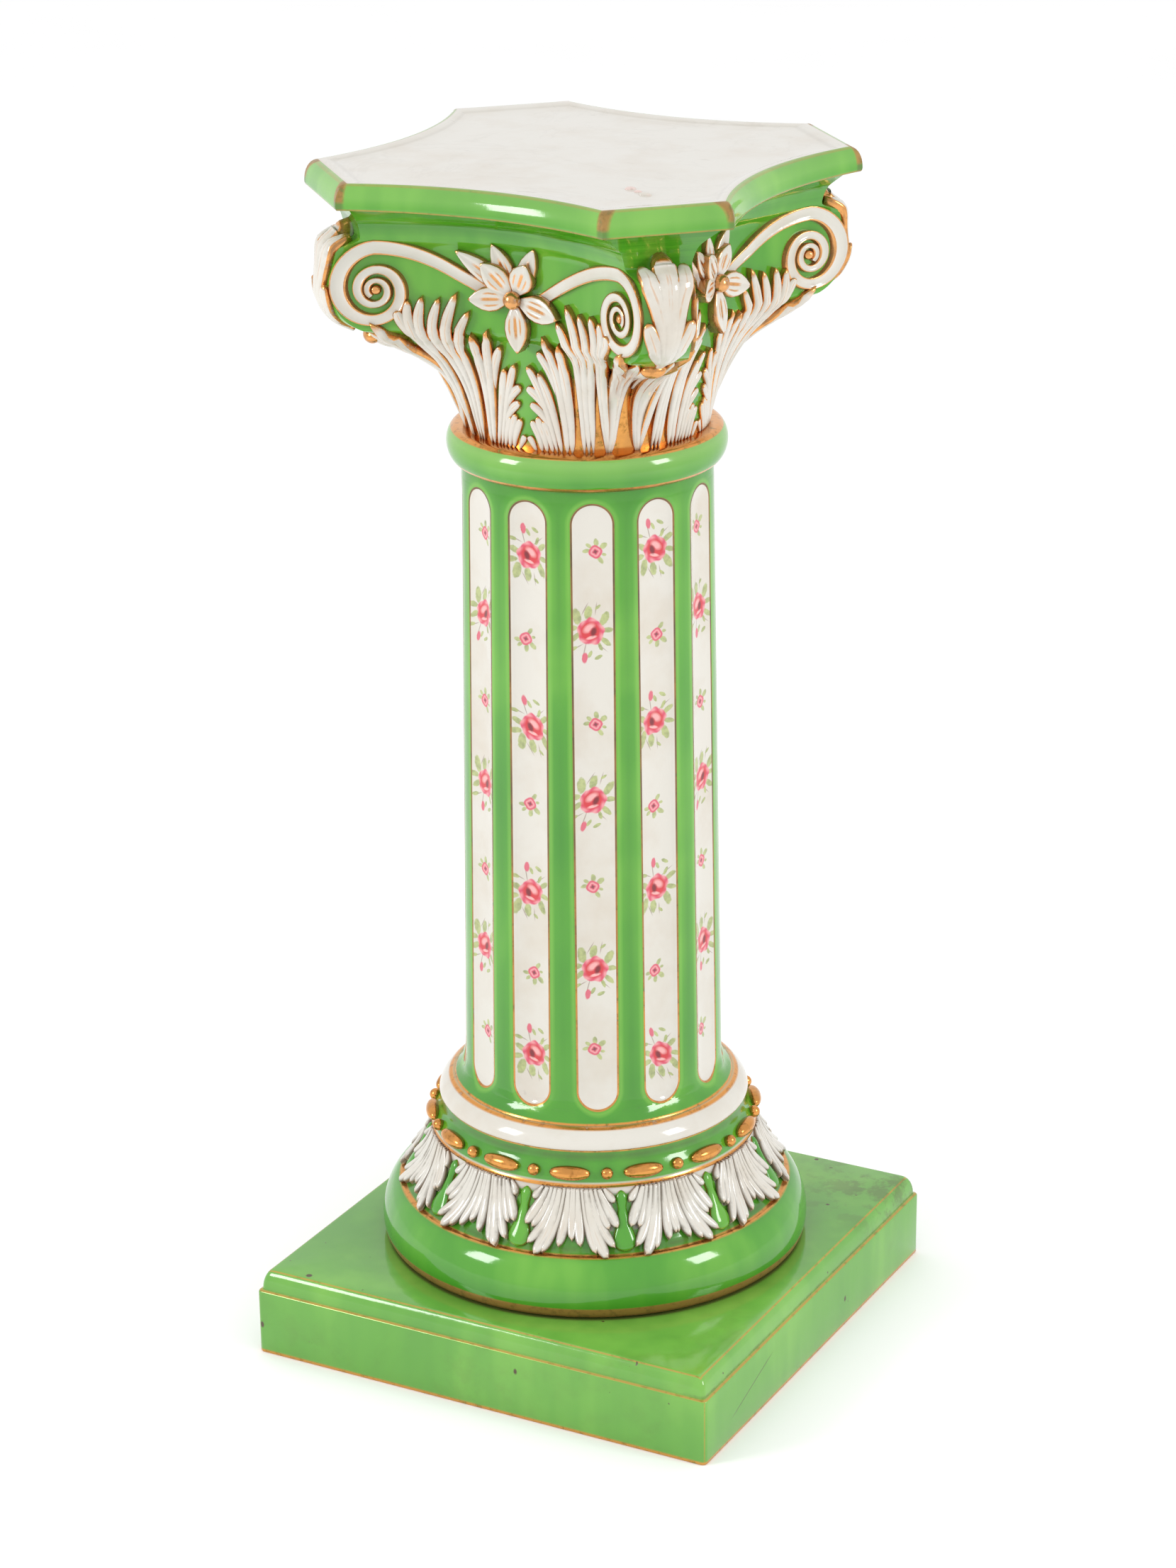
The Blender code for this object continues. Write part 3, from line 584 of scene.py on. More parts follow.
def panelGlaze(low, top, half):
    # cream panels with a gilt outline and printed sprigs on the green shaft
    g, look, pitch = Glaze("fluted shaft glaze"), sprigLook, sprigLook.pitch
    cell = 2 * pi / shaftSizes.flutes
    turn = g.y.turn(g.x) + pi / 2
    index = (turn / cell + 0.5).floor()
    across = turn.wrap(-cell / 2, cell / 2) * hypot(g.x, g.y)
    # distance to the straight spine of the panel, less its half width
    past = (g.z - (top - half)).high((low + half) - g.z).high(0)
    edge = hypot(across, past) - half
    line = abs(edge - 0.0002).under(0.0006, 0.0004)
    # big and small sprigs alternate down a panel; every other panel is half a step lower or higher
    odd = ((index + 1) * 0.5).wrap(0, 1) * 2
    flip = 1 - odd * 2
    bigAt = (g.z - look.big - odd * look.step) / pitch + 0.5
    smallAt = (g.z - look.small + odd * look.smallStep) / pitch + 0.5
    bigRow, smallRow = bigAt.floor(), smallAt.floor()

    def chance(row, seed):
        # three steady random shares for each sprig
        place = g.add('ShaderNodeCombineXYZ', {}, {0: index, 1: row, 2: seed})
        spot = g.add('ShaderNodeTexWhiteNoise', dict(noise_dimensions='3D'), {'Vector': place}, 'Color')
        parts = g.add('ShaderNodeSeparateColor', {}, {0: spot}, None)
        return [Wire(g, parts.outputs[i]) - 0.5 for i in range(3)]

    sideways, lift, tilt = chance(bigRow, 3)
    py = ((bigAt - bigRow - 0.5) * pitch - lift * 0.005) * flip
    px = across - sideways * 0.004 + py * tilt * 0.3
    shown = bigRow.under(0.5, 0.1) * (bigRow + odd).over(-2.5, 0.1)
    sideways, lift, tilt = chance(smallRow, 7)
    qx = across - sideways * 0.0075
    qy = ((smallAt - smallRow - 0.5) * pitch - lift * 0.005) * flip
    shownSmall = smallRow.under(0.5, 0.1) * (smallRow - odd).over(-3.5, 0.1)
    wob = g.noise(420, 2) - 0.5
    # big sprig: stems, leaves and a bud, then the open rose, pink and scalloped outside
    leafTint = g.blend('leaf', 'darkLeaf', (g.noise(260, 2) * 2.4 - 0.9).clip())
    colour = g.blend(whiteCoat(g), 'stem', ovals(px, py, look.stems, 1, 0.8) * 0.55 * shown)
    colour = g.blend(colour, leafTint, ovals(px, py, look.leaves, 1 + wob * 0.5, 0.22) * 0.88 * shown)
    colour = g.blend(colour, 'rose', oval(px, py, *look.bud).under(1 + wob * 0.4, 0.3) * 0.9 * shown)
    rx, ry = px * flip, py * flip
    r = (rx * rx * 1.08 + ry * ry).root() / look.size
    theta = ry.turn(rx)
    petal = r - (theta * 5 + 0.6).sin() * 0.05 - (theta * 9).sin() * 0.025 - wob * 0.08
    pale = ((theta * 7 + r * 6).sin() * 0.5 + 0.5) * r.over(0.62, 0.3) * 0.55
    tint = g.blend('rose', 'blush', pale)
    for paint, *place, soft, share in look.petals:
        tint = g.blend(tint, paint, oval(rx, ry, *place).under(1, soft) * share)
    colour = g.blend(colour, tint, petal.under(0.92, 0.1) * shown)
    # small sprig: a little rose with a dark eye and sprays of leaves round it
    little = ovals(qx, qy, look.sprays, 1 + wob * 0.6, 0.3)
    colour = g.blend(colour, leafTint, little * 0.85 * shownSmall)
    q = hypot(qx, qy) / look.smallSize - (qy.turn(qx) * 4 + 0.7).sin() * 0.05 - wob * 0.12
    tint = g.blend('rose', 'blush', q.near(0.52, 0.1, 0.22) * 0.7)
    tint = g.blend(tint, 'heart', q.under(0.24, 0.2) * 0.85)
    colour = g.blend(colour, tint, q.under(0.92, 0.14) * 0.95 * shownSmall)
    # the ribs: paler beside the panels, where the glaze runs thin and a painted highlight lies, and deeper
    # green along their middles as painted shade
    shadeShare = edge.over(0.0062, 0.005) * g.noise(9, 2).over(0.48, 0.4) * 0.5
    thinAndSheen = edge.near(0.0022, 0.0008, 0.003) * g.noise(12, 2).over(0.4, 0.2) * 0.8
    body = g.blend(greenCoat(g, None, shadeShare), 'paleGreen', thinAndSheen)
    gilt = line.high(g.z.under(shaftSizes.low + 0.001, 0.0006))
    brown = line * (g.noise(30, 3).over(0.45, 0.4) * 0.4 + g.z.over(0.3, 0.2) * 0.62)
    dirt = brown.high(g.noise(45, 4, 0.7).over(0.72, 0.08) * 0.25 * g.z.under(0.2, 0.05))
    return compose(g, None, gilt, dirt, g.blend(body, colour, edge.under(0, 0.0006)))


# neck ring
neckSizes = Sizes(
    low=shaftSizes.low + shaftSizes.flare + shaftSizes.height, radiusLow=0.0806, radiusTop=0.0823,
    swell=0.0084, height=0.0245)


def makeNeck():
    n = neckSizes
    low, top = n.low, n.low + n.height
    r, z = rollProfile(n.radiusLow, n.radiusTop, n.swell, low, top, 30)
    body = lathe([[0.001, 0.06], r, [0.08, 0.06, 0.001]], [[low, low], z, [top + 0.0002] * 3], 192)
    g = Glaze("neck ring glaze")
    lines = g.z.near(low + 0.0022, 0.0016, 0.0006).high(g.z.over(low + 0.0222, 0.0006))
    # painted highlight: the upper half of the ring is paler
    finish = compose(g, None, lines, base=greenCoat(g, g.z.over(low + 0.0135, 0.012) * 0.45))
    return makePiece("neckRing", [body], finish, sharp=50)


# capital
capitalSizes = Sizes(
    low=0.6284, height=0.1559, bell=0.077, side=0.0885, curve=3.48, tip=0.1405, horn=0.17, voluteX=0.084,
    voluteDrop=0.0552, voluteRadius=0.0266, shrink=0.84, squash=0.87, slabHeight=0.0157, slabSide=0.123,
    slabDiagonal=0.1608, slabCut=0.038, slabSwell=0.0085, slabHollow=0.011)


def capitalRows():
    # each row: level, middle of the side, corner x and y, reach along the diagonal, how hollow the side is
    c = capitalSizes
    low, top = c.low, c.low + c.height
    eye = top - c.voluteDrop
    rows = []
    # the leaf's tip comes to a rounder point than the solid's
    for share, reach, hollow, width, nose in (
            (0, 0, 0, 0.0125, 0), (0.09, 0.01, 0, 0.0125, 0), (0.19, 0.05, 0.1, 0.0128, 0),
            (0.27, 0.16, 0.3, 0.0135, 0), (0.34, 0.33, 0.6, 0.015, 0.002), (0.385, 0.57, 0.85, 0.0158, 0.005),
            (0.41, 0.86, 1, 0.0145, 0.008), (0.44, 1, 1, 0.012, 0.008)):
        t = min(share / 0.75, 1)
        middle = c.bell + (c.side - c.bell) * t * t * (3 - 2 * t)
        out = c.bell + (c.tip - c.bell) * reach
        near = math.sqrt(out * out - width * width) - nose
        x, y = (near - width) / root2, (near + width) / root2
        rows.append((low + c.height * share, middle, x, y, out, hollow))
    full = c.voluteX + c.voluteRadius * c.squash
    for share in (-0.93, -0.76, -0.45, -0.05, 0.38, 0.75):
        radius = 0.001 + c.voluteRadius * (1 if share < 0 else 1 / c.shrink)
        chord = math.sqrt(1 - share ** 2) * c.voluteRadius + 0.001
        if share > 0.3:
            chord = max(chord, c.voluteRadius * 0.9)
        cx = c.voluteX + chord * c.squash
        cy = c.side + c.curve * cx * cx
        front = (cx + cy) / root2 + c.horn - (full + c.side + c.curve * full * full) / root2
        rows.append((eye + radius * share, c.side, cx, cy, front, 1))
    horn = eye + c.voluteRadius / c.shrink * 1.02
    for share, out in ((0, 0), (0.4, 0.16), (0.52, 0.27), (1, 1)):
        e = c.slabDiagonal - c.slabHollow * (1 - out)
        w = c.slabCut * (0.55 + 0.45 * out)
        middle = c.side + 0.004 + (c.slabSide - c.side - 0.004) * out
        rows.append((horn + (top - horn) * share, middle, (e - w) / root2, (e + w) / root2, e, 1))
    return np.array(rows)


rowTable = capitalRows()
rowAt = np.arange(len(rowTable), dtype=float)


def bodyPoint(u, s):
    # point of the capital's right eighth on the -Y side: u runs from mid side (0) over the side's end (0.7)
    # to the diagonal (1); s counts the rows upwards
    level, middle, cx, cy, reach, hollow = (monotone(s, rowAt, rowTable[:, k]) for k in range(6))
    t = np.clip(u / 0.7, 0, 1)
    angle = np.arctan2(cx, cy)
    far = middle + (np.hypot(cx, cy) - middle) * t * t
    x = far * np.sin(angle * t) * (1 - hollow) + cx * t * hollow
    y = far * np.cos(angle * t) * (1 - hollow) + (middle + (cy - middle) * t * t) * hollow
    f = np.clip((u - 0.7) / 0.3, 0, 1)
    half, near = (cy - cx) / root2, (cy + cx) / root2
    across = half * (1 - f)
    along = reach - (reach - near) * (1 - f) ** 2
    front = u > 0.7
    x = np.where(front, (along - across) / root2, x)
    y = np.where(front, (along + across) / root2, y)
    return np.stack([x, -y, level], -1)


def bodyFrame(u, s):
    # point of the body's surface and the direction that looks out of it
    e = 0.004
    p = bodyPoint(u, s)
    du = bodyPoint(np.clip(u + e, 0, 1), s) - bodyPoint(np.clip(u - e, 0, 1), s)
    ds = bodyPoint(u, s + 0.03) - bodyPoint(u, s - 0.03)
    out = np.cross(du, ds)
    out /= np.maximum(np.linalg.norm(out, axis=-1, keepdims=True), 1e-9)
    return p, out


def makeCapitalBody():
    u = np.concatenate([np.linspace(0, 0.7, 26), np.linspace(0.7, 1, 12)[1:]])
    s = np.linspace(0, len(rowTable) - 1, 150)[:, None]
    # the other half of the quarter mirrors the first across the diagonal
    right = bodyPoint(u + s * 0, s + u * 0)
    quarter = np.concatenate([right, overDiagonal(right)[:, -2:0:-1]], 1)
    u = np.concatenate([u, u[-2:0:-1]])
    # gilding shows between the leaf's ribs, up to where its side leaves part
    leafTop = np.interp(u, [0, 0.06, 0.1, 0.25, 0.33, 0.38, 0.47, 0.52, 0.66, 0.72, 0.85, 1],
                        [0.3, 0.3, 0.5, 0.6, 1.6, 0.8, 4.6, 3, 6.2, 6, 7.4, 7.4])
    under = np.clip((leafTop - s) / 0.3 + 0.5, 0, 1)
    body = ringOf(quarter, dict(under=under))
    g = Glaze("capital green glaze")
    gilt = g.mark("under")
    # darker level streaks in the hollow just under the top slab: painted shade under its overhang, broken into
    # streaks
    streaks = g.noise(3, 3, 0.6, at=g.stretch((1.5, 1.5, 60))).over(0.5, 0.14)
    coat = greenCoat(g, None, g.z.over(0.766, 0.008) * streaks * 0.55)
    finish = compose(g, None, gilt * 0.95, gilt * g.noise(60, 3).over(0.6, 0.2) * 0.2, coat)
    return makePiece("capitalBody", [body], finish, sharp=35)


def fingerPatch(row, rise=0.72, curl=0.003, start=0.5, steps=30, sink=0.003, crease=0.06):
    # a finger of a leaf: a curve through three places (u, s) on the body, swelling towards a rounded tip that
    # turns out; start is its width at the root as a share of the widest
    u0, s0, u1, s1, u2, s2, width = row
    width *= 0.001
    t = np.linspace(0, 1, steps)
    p, out = bodyFrame(np.clip(through(t, u0, u1, u2), 0.002, 0.998), np.clip(through(t, s0, s1, s2), 0, 17))
    across, out = crosswise(p, out)
    # it bridges the hollows of the body: pulled straight again and again, but never below the surface
    taut = p.copy()
    for _ in range(60):
        taut[1:-1] += 0.25 * (taut[:-2] - 2 * taut[1:-1] + taut[2:])
        taut += out * np.maximum(((p - taut) * out).sum(-1, keepdims=True), 0)
    gap = np.linalg.norm(taut - p, axis=1)
    turned = curl * t ** 4
    root = np.clip(t / 0.1, 0, 1) ** 0.6 if s0 < 0.3 else np.ones(steps)
    close = closing(t, 0.7, 0.001)
    swell = start + (1 - start) * np.sin(pi / 2 * np.clip(t / 0.72, 0, 1)) ** 1.5
    wide = width * swell * close * (0.25 + 0.75 * root)
    high = width * rise * (0.7 + 0.3 * np.sin(pi * t * 0.9)) * close ** 0.6 * (0.6 + 0.4 * root)
    return tube(taut + out * turned[:, None], across, out, wide, high, sink + gap + turned, 20, crease)


cornerLeaf = Sizes(lobes=[
    # (u, s) where a finger starts, bends and ends on the half leaf, then its half width in mm
    # small leaf at the foot
    (0.19, 0.02, 0.165, 0.75, 0.105, 1.55, 3), (0.242, 0.02, 0.212, 0.76, 0.16, 1.4, 2.8),
    (0.143, 0.02, 0.115, 0.74, 0.05, 1.38, 3), (0.085, 0.02, 0.05, 0.38, 0.018, 0.68, 2.4),
    # low side leaf
    (0.25, 0.9, 0.165, 1.63, 0.048, 2.1, 3.2), (0.25, 1.4, 0.135, 2.4, 0.026, 2.95, 3.4),
    (0.325, 0.02, 0.26, 1.8, 0.15, 4, 3.2), (0.285, 0.02, 0.175, 2.4, 0.052, 4.4, 3.2),
    # middle side leaf
    (0.385, 1.5, 0.27, 3.6, 0.11, 6.65, 3.6), (0.42, 0.02, 0.395, 2.6, 0.23, 8, 4),
    (0.375, 0.02, 0.34, 2.6, 0.14, 8.6, 3.9),
    # upper side leaf
    (0.53, 0.02, 0.455, 4.7, 0.205, 10.05, 4), (0.61, 0.02, 0.515, 5.8, 0.32, 10.75, 4),
    (0.57, 0.02, 0.488, 5.2, 0.25, 11.05, 4.3),
    # outer side leaf, next to the scroll
    (0.56, 5.8, 0.51, 8.6, 0.495, 9.95, 3.8), (0.765, 0.02, 0.555, 7, 0.44, 10.6, 3.9),
    (0.745, 0.02, 0.54, 6.6, 0.385, 10.8, 4),
    (0.785, 0.02, 0.79, 3.3, 0.62, 9.1, 5.2)],
    # broad ribs that run out under the scroll and end below it
    ribs=[(0.81, 0.02, 0.855, 3.2, 0.77, 7.5, 5.2), (0.93, 3.2, 0.925, 5.4, 0.925, 7.05, 5.4)])


# how far out the gilt edge, the brown groove and its softness start; then the strength of each mark
whiteLook = Sizes(edge=0.8, sides=0.95, tips=0.95, vein=0.35, groove=0.985, soft=0.02, dirt=0.5, stain=0.225)
stainedLook = Sizes(edge=0.9, sides=0.35, tips=0.3, vein=0.1, groove=0.76, soft=0.4, dirt=0.75, stain=0.62)


def leafGlaze(name, look):
    # white fingers, gilt down both sides and round the tip, a fine vein along the middle, brown in the creases
    g = Glaze(name)
    along = g.mark("along")
    side = abs(g.mark("across")) + (g.noise(90, 2) - 0.5) * 0.1
    gilt = (side.over(look.edge, 0.07) * look.sides).high(along.over(0.955, 0.03) * look.tips)
    vein = side.under(0.09, 0.05) * along.near(0.72, 0.16, 0.1) * g.noise(55, 3).over(0.44, 0.12)
    crease = side.over(look.groove, look.soft) * look.dirt
    stain = g.noise(50, 4, 0.7).over(0.56, 0.16) * side.over(0.45, 0.6) * look.stain
    return compose(g, None, gilt.high(vein * look.vein), crease.high(stain), whiteCoat(g))


def makeCornerLeaves(finish):
    patches = []
    for row in cornerLeaf.lobes:
        patches += quarters(*fingerPatch(row, 0.8, 0.0035 if row[5] > 3 else 0.0015))
    for row in cornerLeaf.ribs:
        grid, extra = fingerPatch(row, 0.7, 0)
        patches += quarters(grid, dict(across=extra['across'], along=extra['along'] * 0.9))
    return makePiece("cornerLeaves", patches, finish)


hornLeaf = Sizes(lobes=[
    # (u, s) where a finger starts, bends and ends on the scroll's front, its half width and its curl in mm
    (0.985, 7.8, 0.91, 9, 0.8, 10, 3.6, 2), (0.985, 7.8, 0.88, 9.6, 0.74, 11.35, 5.2, 4),
    (0.985, 7.7, 0.925, 11.2, 0.785, 13.7, 6.6, 4.5), (0.992, 7.7, 0.992, 11.6, 0.985, 15, 7.4, 5.5)],
    knobReach=0.1388, knobLevel=0.6958, knobWide=0.0082, knobDeep=0.0056)


def makeHornLeaves(finish):
    # the leaf that hangs down the front of each scroll, its three lobes under the slab
    h, patches = hornLeaf, []
    for *row, curl in h.lobes:
        grid, extra = fingerPatch(row, 0.55, curl * 0.001, 0.3, 36)
        # drawn on the right half of one side; its mirror across the diagonal makes the pair
        patches += quarters(grid, extra, (1,)) + quarters(overDiagonal(grid)[:, ::-1], extra, (1,))
    # the gilt button under its point
    out, side, up = ball(12, 20)
    along, swing = h.knobReach + h.knobDeep * out, h.knobWide * side
    knob = np.stack([(along - swing) / root2, -(along + swing) / root2, h.knobLevel + h.knobDeep * up], -1)
    patches += quarters(knob, dict(across=0.95, along=1), (1,))
    return makePiece("hornLeaves", patches, finish)


# volutes
voluteLook = Sizes(
    turns=2.4, band=0.3, lift=0.0036, span=0.066, sink=0.003, taper=0.72, button=0.003,
    # the band's section: a shallow channel between two raised gilt edges, then its sunk foot
    share=[-1, -1, -0.93, -0.78, -0.62, -0.3, 0, 0.3, 0.62, 0.78, 0.93, 1, 1],
    rise=[-1, 0.72, 0.96, 1, 0.84, 0.76, 0.74, 0.76, 0.84, 1, 0.96, 0.72, -1])


def sidePoint(x, z, lift):
    c = capitalSizes
    return np.stack([x, -(c.side + c.curve * x * x + lift), z], -1)


def makeVolutes():
    # the band springs from the flower, arches over and winds in, a fixed share smaller each quarter turn
    c, v = capitalSizes, voluteLook
    eye = c.low + c.height - c.voluteDrop
    top = c.voluteRadius / c.shrink
    t = np.linspace(0, 1, 19)[:-1]
    half0 = v.band * top * (0.4 + 0.1 * t)
    z0 = eye + top * np.sin(pi / 2 * (0.12 + 0.88 * t)) - half0 - 0.0035 * (1 - t)
    turns = np.linspace(0, v.turns, int(v.turns * 44))
    r = top * c.shrink ** (4 * turns)
    half1 = np.maximum(v.band * top * 0.5 * (r / top) ** v.taper, 0.001)
    a = pi / 2 - 2 * pi * turns
    x = np.concatenate([c.voluteX - v.span * (1 - t), c.voluteX + (r - half1) * np.cos(a) * c.squash])
    z = np.concatenate([z0, eye + (r - half1) * np.sin(a)])
    run = unit(np.stack([np.gradient(x), np.gradient(z)], -1))
    share, rise = np.array(v.share), np.array(v.rise)
    lift = np.where(rise < 0, -v.sink, rise * v.lift)
    along = np.linspace(0, 1, len(x))[:, None]
    off = np.concatenate([half0, half1])[:, None] * share
    grid = sidePoint(x[:, None] - run[:, 1:] * off, z[:, None] + run[:, :1] * off,
                     lift * np.where(lift > 0, np.clip(along / 0.04, 0.3, 1), 1))
    patches = quarters(grid[:, ::-1], dict(across=np.abs(share), along=along))
    # the eye: a small raised button
    out, side, up = ball(10, 18)
    button = sidePoint(c.voluteX + v.button * side * c.squash, eye + v.button * up, 0.0016 + 0.0026 * out)
    patches += quarters(button[::-1], dict(across=0.95, along=0.5))
    g = Glaze("volute glaze")
    across = g.mark("across") + (g.noise(90, 2) - 0.5) * 0.08
    finish = compose(g, None, across.over(0.76, 0.08) * 0.9, across.over(0.99, 0.02) * 0.45, whiteCoat(g))
    return makePiece("volutes", patches, finish, sharp=60)


# flowers: each petal's turn in degrees, reach as a share of the radius, half width, and lift at rim and middle
flowerLook = Sizes(drop=0.0573, radius=0.033, boss=0.0058, petals=[
    (-84, 1, 0.0084, 0.004, 0.0068), (-14, 1.02, 0.0086, 0.004, 0.0068), (66, 0.76, 0.009, 0.004, 0.0068),
    (134, 0.9, 0.0086, 0.004, 0.0068), (183, 0.88, 0.0082, 0.004, 0.0068),
    # the points behind them
    (66, 1.08, 0.007, 0.001, 0.0036), (114, 1.1, 0.007, 0.001, 0.0036), (144, 1.42, 0.0068, 0.001, 0.0036)])


def makeFlowers():
    c, f = capitalSizes, flowerLook
    heart = c.low + c.height - f.drop
    t = np.linspace(0, 1, 22)[:, None]
    phi = np.arange(20) * 2 * pi / 20
    across = np.cos(phi)
    shape = np.interp(t, [0, 0.1, 0.3, 0.48, 0.66, 0.82, 0.93, 1], [0.3, 0.5, 0.9, 1, 0.88, 0.58, 0.26, 0.03])
    crease = 0.0016 * np.exp(-(across / 0.22) ** 2) * np.sin(pi * t)
    # each half of a petal swells beside a creased middle, and the tip turns out
    swell = np.sin(pi * t) ** 0.6 * np.abs(np.sin(phi)) ** 0.6
    patches = []
    for turn, reach, wide, low, high in f.petals:
        a = math.radians(turn)
        d, w = 0.004 + (f.radius * reach - 0.004) * t, wide * shape * across
        lift = np.where(np.sin(phi) >= 0, low + (high - low) * swell - crease + 0.003 * t ** 3, -0.0025)
        grid = sidePoint(d * math.cos(a) - w * math.sin(a), heart + d * math.sin(a) + w * math.cos(a), lift)
        patches += quarters(grid, dict(across=across, along=t), (1,))
    out, side, up = ball(12, 24)
    boss = sidePoint(f.boss * side, heart + f.boss * up, 0.0066 + 0.005 * out)
    patches += quarters(boss[::-1], dict(across=2, along=0.5), (1,))
    g = Glaze("flower glaze")
    along = g.mark("along")
    side = abs(g.mark("across")) + (g.noise(90, 2) - 0.5) * 0.1
    # gilt rims, a line along each middle, the tips, and a stroke in each half
    gilt = side.over(0.86, 0.1).high(side.under(0.13, 0.08) * along.near(0.45, 0.22, 0.1))
    gilt = gilt.high(along.over(0.95, 0.04))
    gilt = gilt.high(side.near(0.48, 0.07, 0.06) * along.near(0.42, 0.16, 0.1) * 0.9)
    finish = compose(g, None, gilt * 0.9, side.near(0.97, 0.03, 0.04) * 0.3, whiteCoat(g))
    return makePiece("flowers", patches, finish)


# top slab
slabLook = Sizes(
    # its edge from below: height and swell as shares; then the top: share of the outline, and how far it dips
    edge=[0, 0.03, 0.08, 0.15, 0.25, 0.36, 0.48, 0.6, 0.72, 0.82, 0.9, 0.96, 0.99],
    dish=[(0.985, 0), (0.965, 0.0003), (0.945, 0.0011), (0.92, 0.0015), (0.8, 0.0016), (0.6, 0.0016),
          (0.4, 0.0016), (0.2, 0.0016), (0.02, 0.0016)])


def slabRing(out, level, scale=1):
    c = capitalSizes
    e, w, side = c.slabDiagonal + out, c.slabCut + out * 0.3, c.slabSide + out
    t = np.linspace(0, 1, 26)
    across = w * (1 - np.linspace(0, 1, 9)[1:])
    x = np.concatenate([(e - w) / root2 * t, (e - across) / root2])
    y = np.concatenate([side + ((e + w) / root2 - side) * t * t, (e + across) / root2])
    # the right half of a side, then its mirror across the diagonal
    right = np.stack([x * scale, -y * scale, x * 0 + level], -1)
    return ringOf(np.concatenate([right, overDiagonal(right)[-2:0:-1]])[None], {})[0][0]


def makeSlab():
    c = capitalSizes
    low = c.low + c.height
    top = low + c.slabHeight
    t, start = np.array(slabLook.edge), 0.12
    swell = np.where(t > start, np.sqrt(1 - np.maximum((t - start) / (1 - start), 0) ** 2.3),
                     0.9 + 0.1 * np.sin(t / start * pi / 2))
    rings = [slabRing(-0.004, low + 0.0002, k) for k in (0.02, 0.5, 0.9, 1)]
    rings += [slabRing(c.slabSwell * k, low + c.slabHeight * h) for h, k in zip(t, swell)]
    rings += [slabRing(0, top)] + [slabRing(0, top - dip, scale) for scale, dip in slabLook.dish]
    shareOut = np.ones((len(rings), 1))
    shareOut[-len(slabLook.dish):, 0] = [scale for scale, _ in slabLook.dish]
    topness = (np.arange(len(rings)) >= len(rings) - len(slabLook.dish) - 1)[:, None] * 1
    g = Glaze("top slab glaze")
    white = g.mark("topness").over(0.93, 0.1)
    lines = g.z.near(top - 0.0006, 0.0005, 0.0005) * g.mark("shareOut").over(0.992, 0.004) * 0.3
    lines = lines.high(g.z.under(low + 0.001, 0.0006) * 0.6)
    # upright gilt marks where a side meets a cut corner
    near, far = abs(g.x).low(abs(g.y)), abs(g.x).high(abs(g.y))
    marks = abs(near - 0.09).under(0.0034, 0.002) * (1 - white) * far.over(0.135, 0.004)
    lines = lines.high(marks * g.z.over(low + 0.005, 0.002))
    # the worn top: faint rings of stain, scratches and dirt along the rim
    stain = g.noise(7, 5, 0.65, warp=1.5).near(0.52, 0.006, 0.016) * 0.07
    scratch = g.noise(30, 3, 0.6, at=g.stretch((1, 6, 1))).over(0.71, 0.03) * 0.25
    rim = g.mark("shareOut").near(0.945, 0.01, 0.012) * 0.1
    dirt = ((stain + scratch + rim) * white).high(lines * 0.35).high(marks * 0.5)
    # painted reflection: the slab's edge is paler above its lowest few mm
    finish = compose(g, white, lines * 0.8, dirt, greenCoat(g, g.z.over(low + 0.004, 0.008) * 0.25))
    return makePiece("topSlab", [(np.stack(rings), dict(topness=topness, shareOut=shareOut))], finish, sharp=50)


# kiln lumps left on the top near the front: place, radius and half height
lumpLook = Sizes(
    level=0.7983,
    rows=[(0.0712, -0.075, 0.0036, 0.0017), (0.079, -0.08, 0.0026, 0.0012), (0.0866, -0.085, 0.0042, 0.0016)])


def makeLumps():
    patches = []
    up, east, north = ball(9, 14, trim=0.03)
    for x, y, r, h in lumpLook.rows:
        wave = r * (1 + 0.18 * np.sin(np.arange(14) * 6 * pi / 14 + x * 900))
        grid = np.stack([x + wave * east, y + wave * north * 0.8, lumpLook.level + h * up], -1)
        patches.append((grid[::-1], {}))
    g = Glaze("lump glaze")
    base = g.blend(whiteCoat(g), 'blush', g.noise(90, 2).over(0.45, 0.2) * 0.35)
    return makePiece("kilnLumps", patches, compose(g, grime=g.noise(200, 3).over(0.6, 0.1) * 0.2, base=base))


# camera, lights and floor
studio = Sizes(
    azimuth=28.434, elevation=20.63, roll=-0.666, place=(1.17369, -2.18883, 1.31592), lens=92.62, film=36,
    shift=0.0081, aim=(0, 0, 0.42), room=1.03, ground=90,
    # each lamp: turn from the camera, height, distance and power
    lamps=[("left box", -66, 1.25, 2, 15), ("right box", 62, 1.25, 2.1, 14)], lamp=(0.54, 0.74))


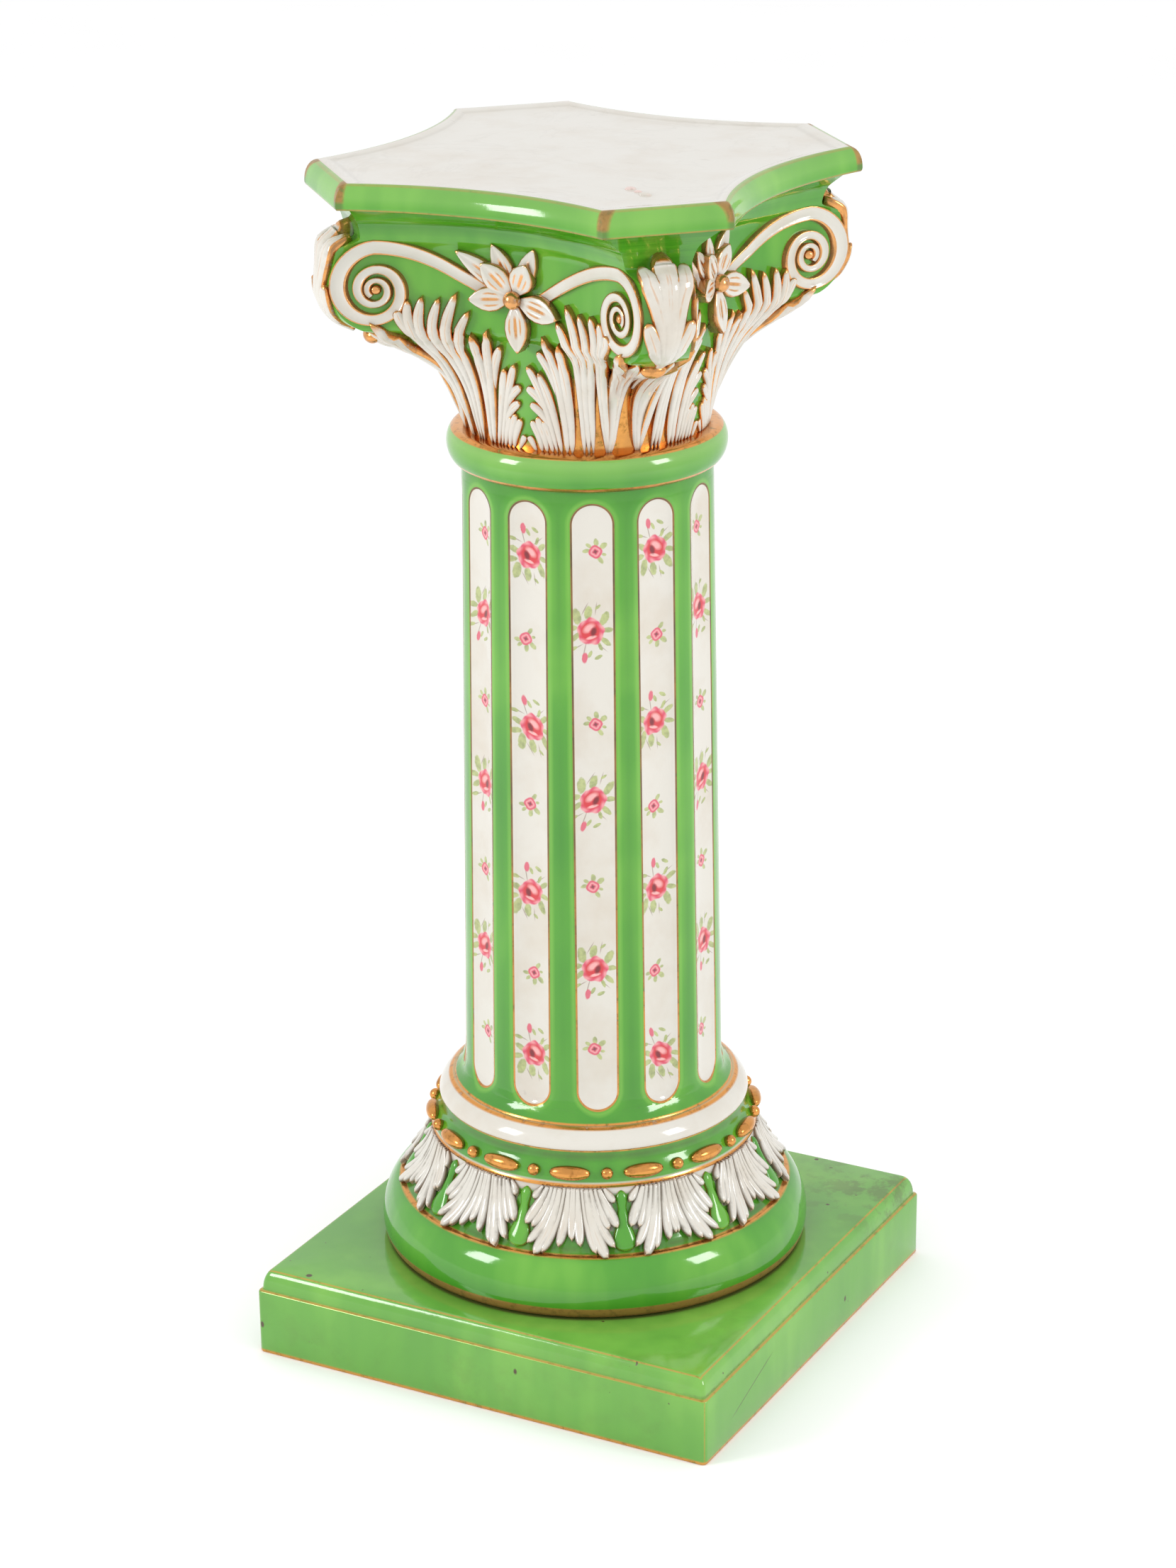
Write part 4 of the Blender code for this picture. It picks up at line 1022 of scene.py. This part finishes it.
def makeStudio():
    az, el, roll = (math.radians(studio[k]) for k in ('azimuth', 'elevation', 'roll'))
    right = Vector((math.cos(az), math.sin(az), 0))
    back = Vector((math.sin(az) * math.cos(el), -math.cos(az) * math.cos(el), math.sin(el)))
    up = back.cross(right)
    across = right * math.cos(roll) + up * math.sin(roll)
    upright = up * math.cos(roll) - right * math.sin(roll)
    camera = bpy.data.objects.new("camera", bpy.data.cameras.new("camera"))
    bpy.context.collection.objects.link(camera)
    placed = Matrix((across, upright, back)).transposed().to_4x4()
    placed.translation = Vector(studio.place)
    camera.matrix_world = placed
    camera.data.sensor_fit = 'VERTICAL'
    camera.data.sensor_height = studio.film
    camera.data.lens = studio.lens
    camera.data.shift_x = studio.shift
    bpy.context.scene.camera = camera
    # one softbox each side of the camera; the white room gives the rest
    for name, turn, height, far, power in studio.lamps:
        a = az + math.radians(turn)
        spot = Vector((math.sin(a) * far, -math.cos(a) * far, height))
        light = bpy.data.lights.new(name, 'AREA')
        light.shape, light.energy = 'RECTANGLE', power
        light.size, light.size_y = studio.lamp
        lamp = bpy.data.objects.new(name, light)
        lamp.location = spot
        lamp.rotation_euler = (Vector(studio.aim) - spot).to_track_quat('-Z', 'Y').to_euler()
        bpy.context.collection.objects.link(lamp)
    world = bpy.data.worlds.new("pale studio")
    bpy.context.scene.world = world
    world.use_nodes = True
    background = world.node_tree.nodes['Background']
    background.inputs['Color'].default_value = (1, 1, 1, 1)
    background.inputs['Strength'].default_value = studio.room
    g = Glaze("pale floor", ior=1.5)
    colour = g.blend((0.98, 0.98, 0.98), (0.95, 0.95, 0.95), g.noise(3, 2))
    mesh = bpy.data.meshes.new("floor")
    far = studio.ground
    mesh.from_pydata([(-far, -far, 0), (far, -far, 0), (far, far, 0), (-far, far, 0)], [], [(0, 1, 2, 3)])
    mesh.materials.append(g.finish(colour, 0.9))
    floor = bpy.data.objects.new("floor", mesh)
    bpy.context.collection.objects.link(floor)
    bpy.context.scene.view_settings.view_transform = 'Standard'
    print("studio set")


makeStudio()
plinthPiece = makePlinth()
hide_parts("plinth")
whiteLeaf = leafGlaze("white leaf glaze", whiteLook)
collarFinish = leafGlaze("collar leaf glaze", stainedLook)
bead = Glaze("bead gilding", metal=1)
beadDirt = bead.z.over(0.1512, 0.002) * bead.noise(120, 3).over(0.45, 0.2) * 0.22
beadGold = compose(bead, grime=beadDirt, base=goldCoat(bead)[0], rough=0.13)
tongue = Glaze("tongue glaze")
tongueEdge = abs(tongue.mark("across")).over(0.94, 0.06)
tongueGreen = compose(tongue, None, tongueEdge * 0.8, tongueEdge * 0.35)
columnPieces = [
    makeBase(), makePiece("collarLeaves", collarFingers(), collarFinish),
    makePiece("collarTongues", collarTongues(), tongueGreen), makePiece("giltBeads", beadPatches(), beadGold),
    makeShaft(), makeNeck(), makeCapitalBody(), makeCornerLeaves(whiteLeaf), makeHornLeaves(whiteLeaf),
    makeVolutes(), makeFlowers(), makeSlab(), makeLumps()]
for piece in columnPieces:
    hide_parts("column")
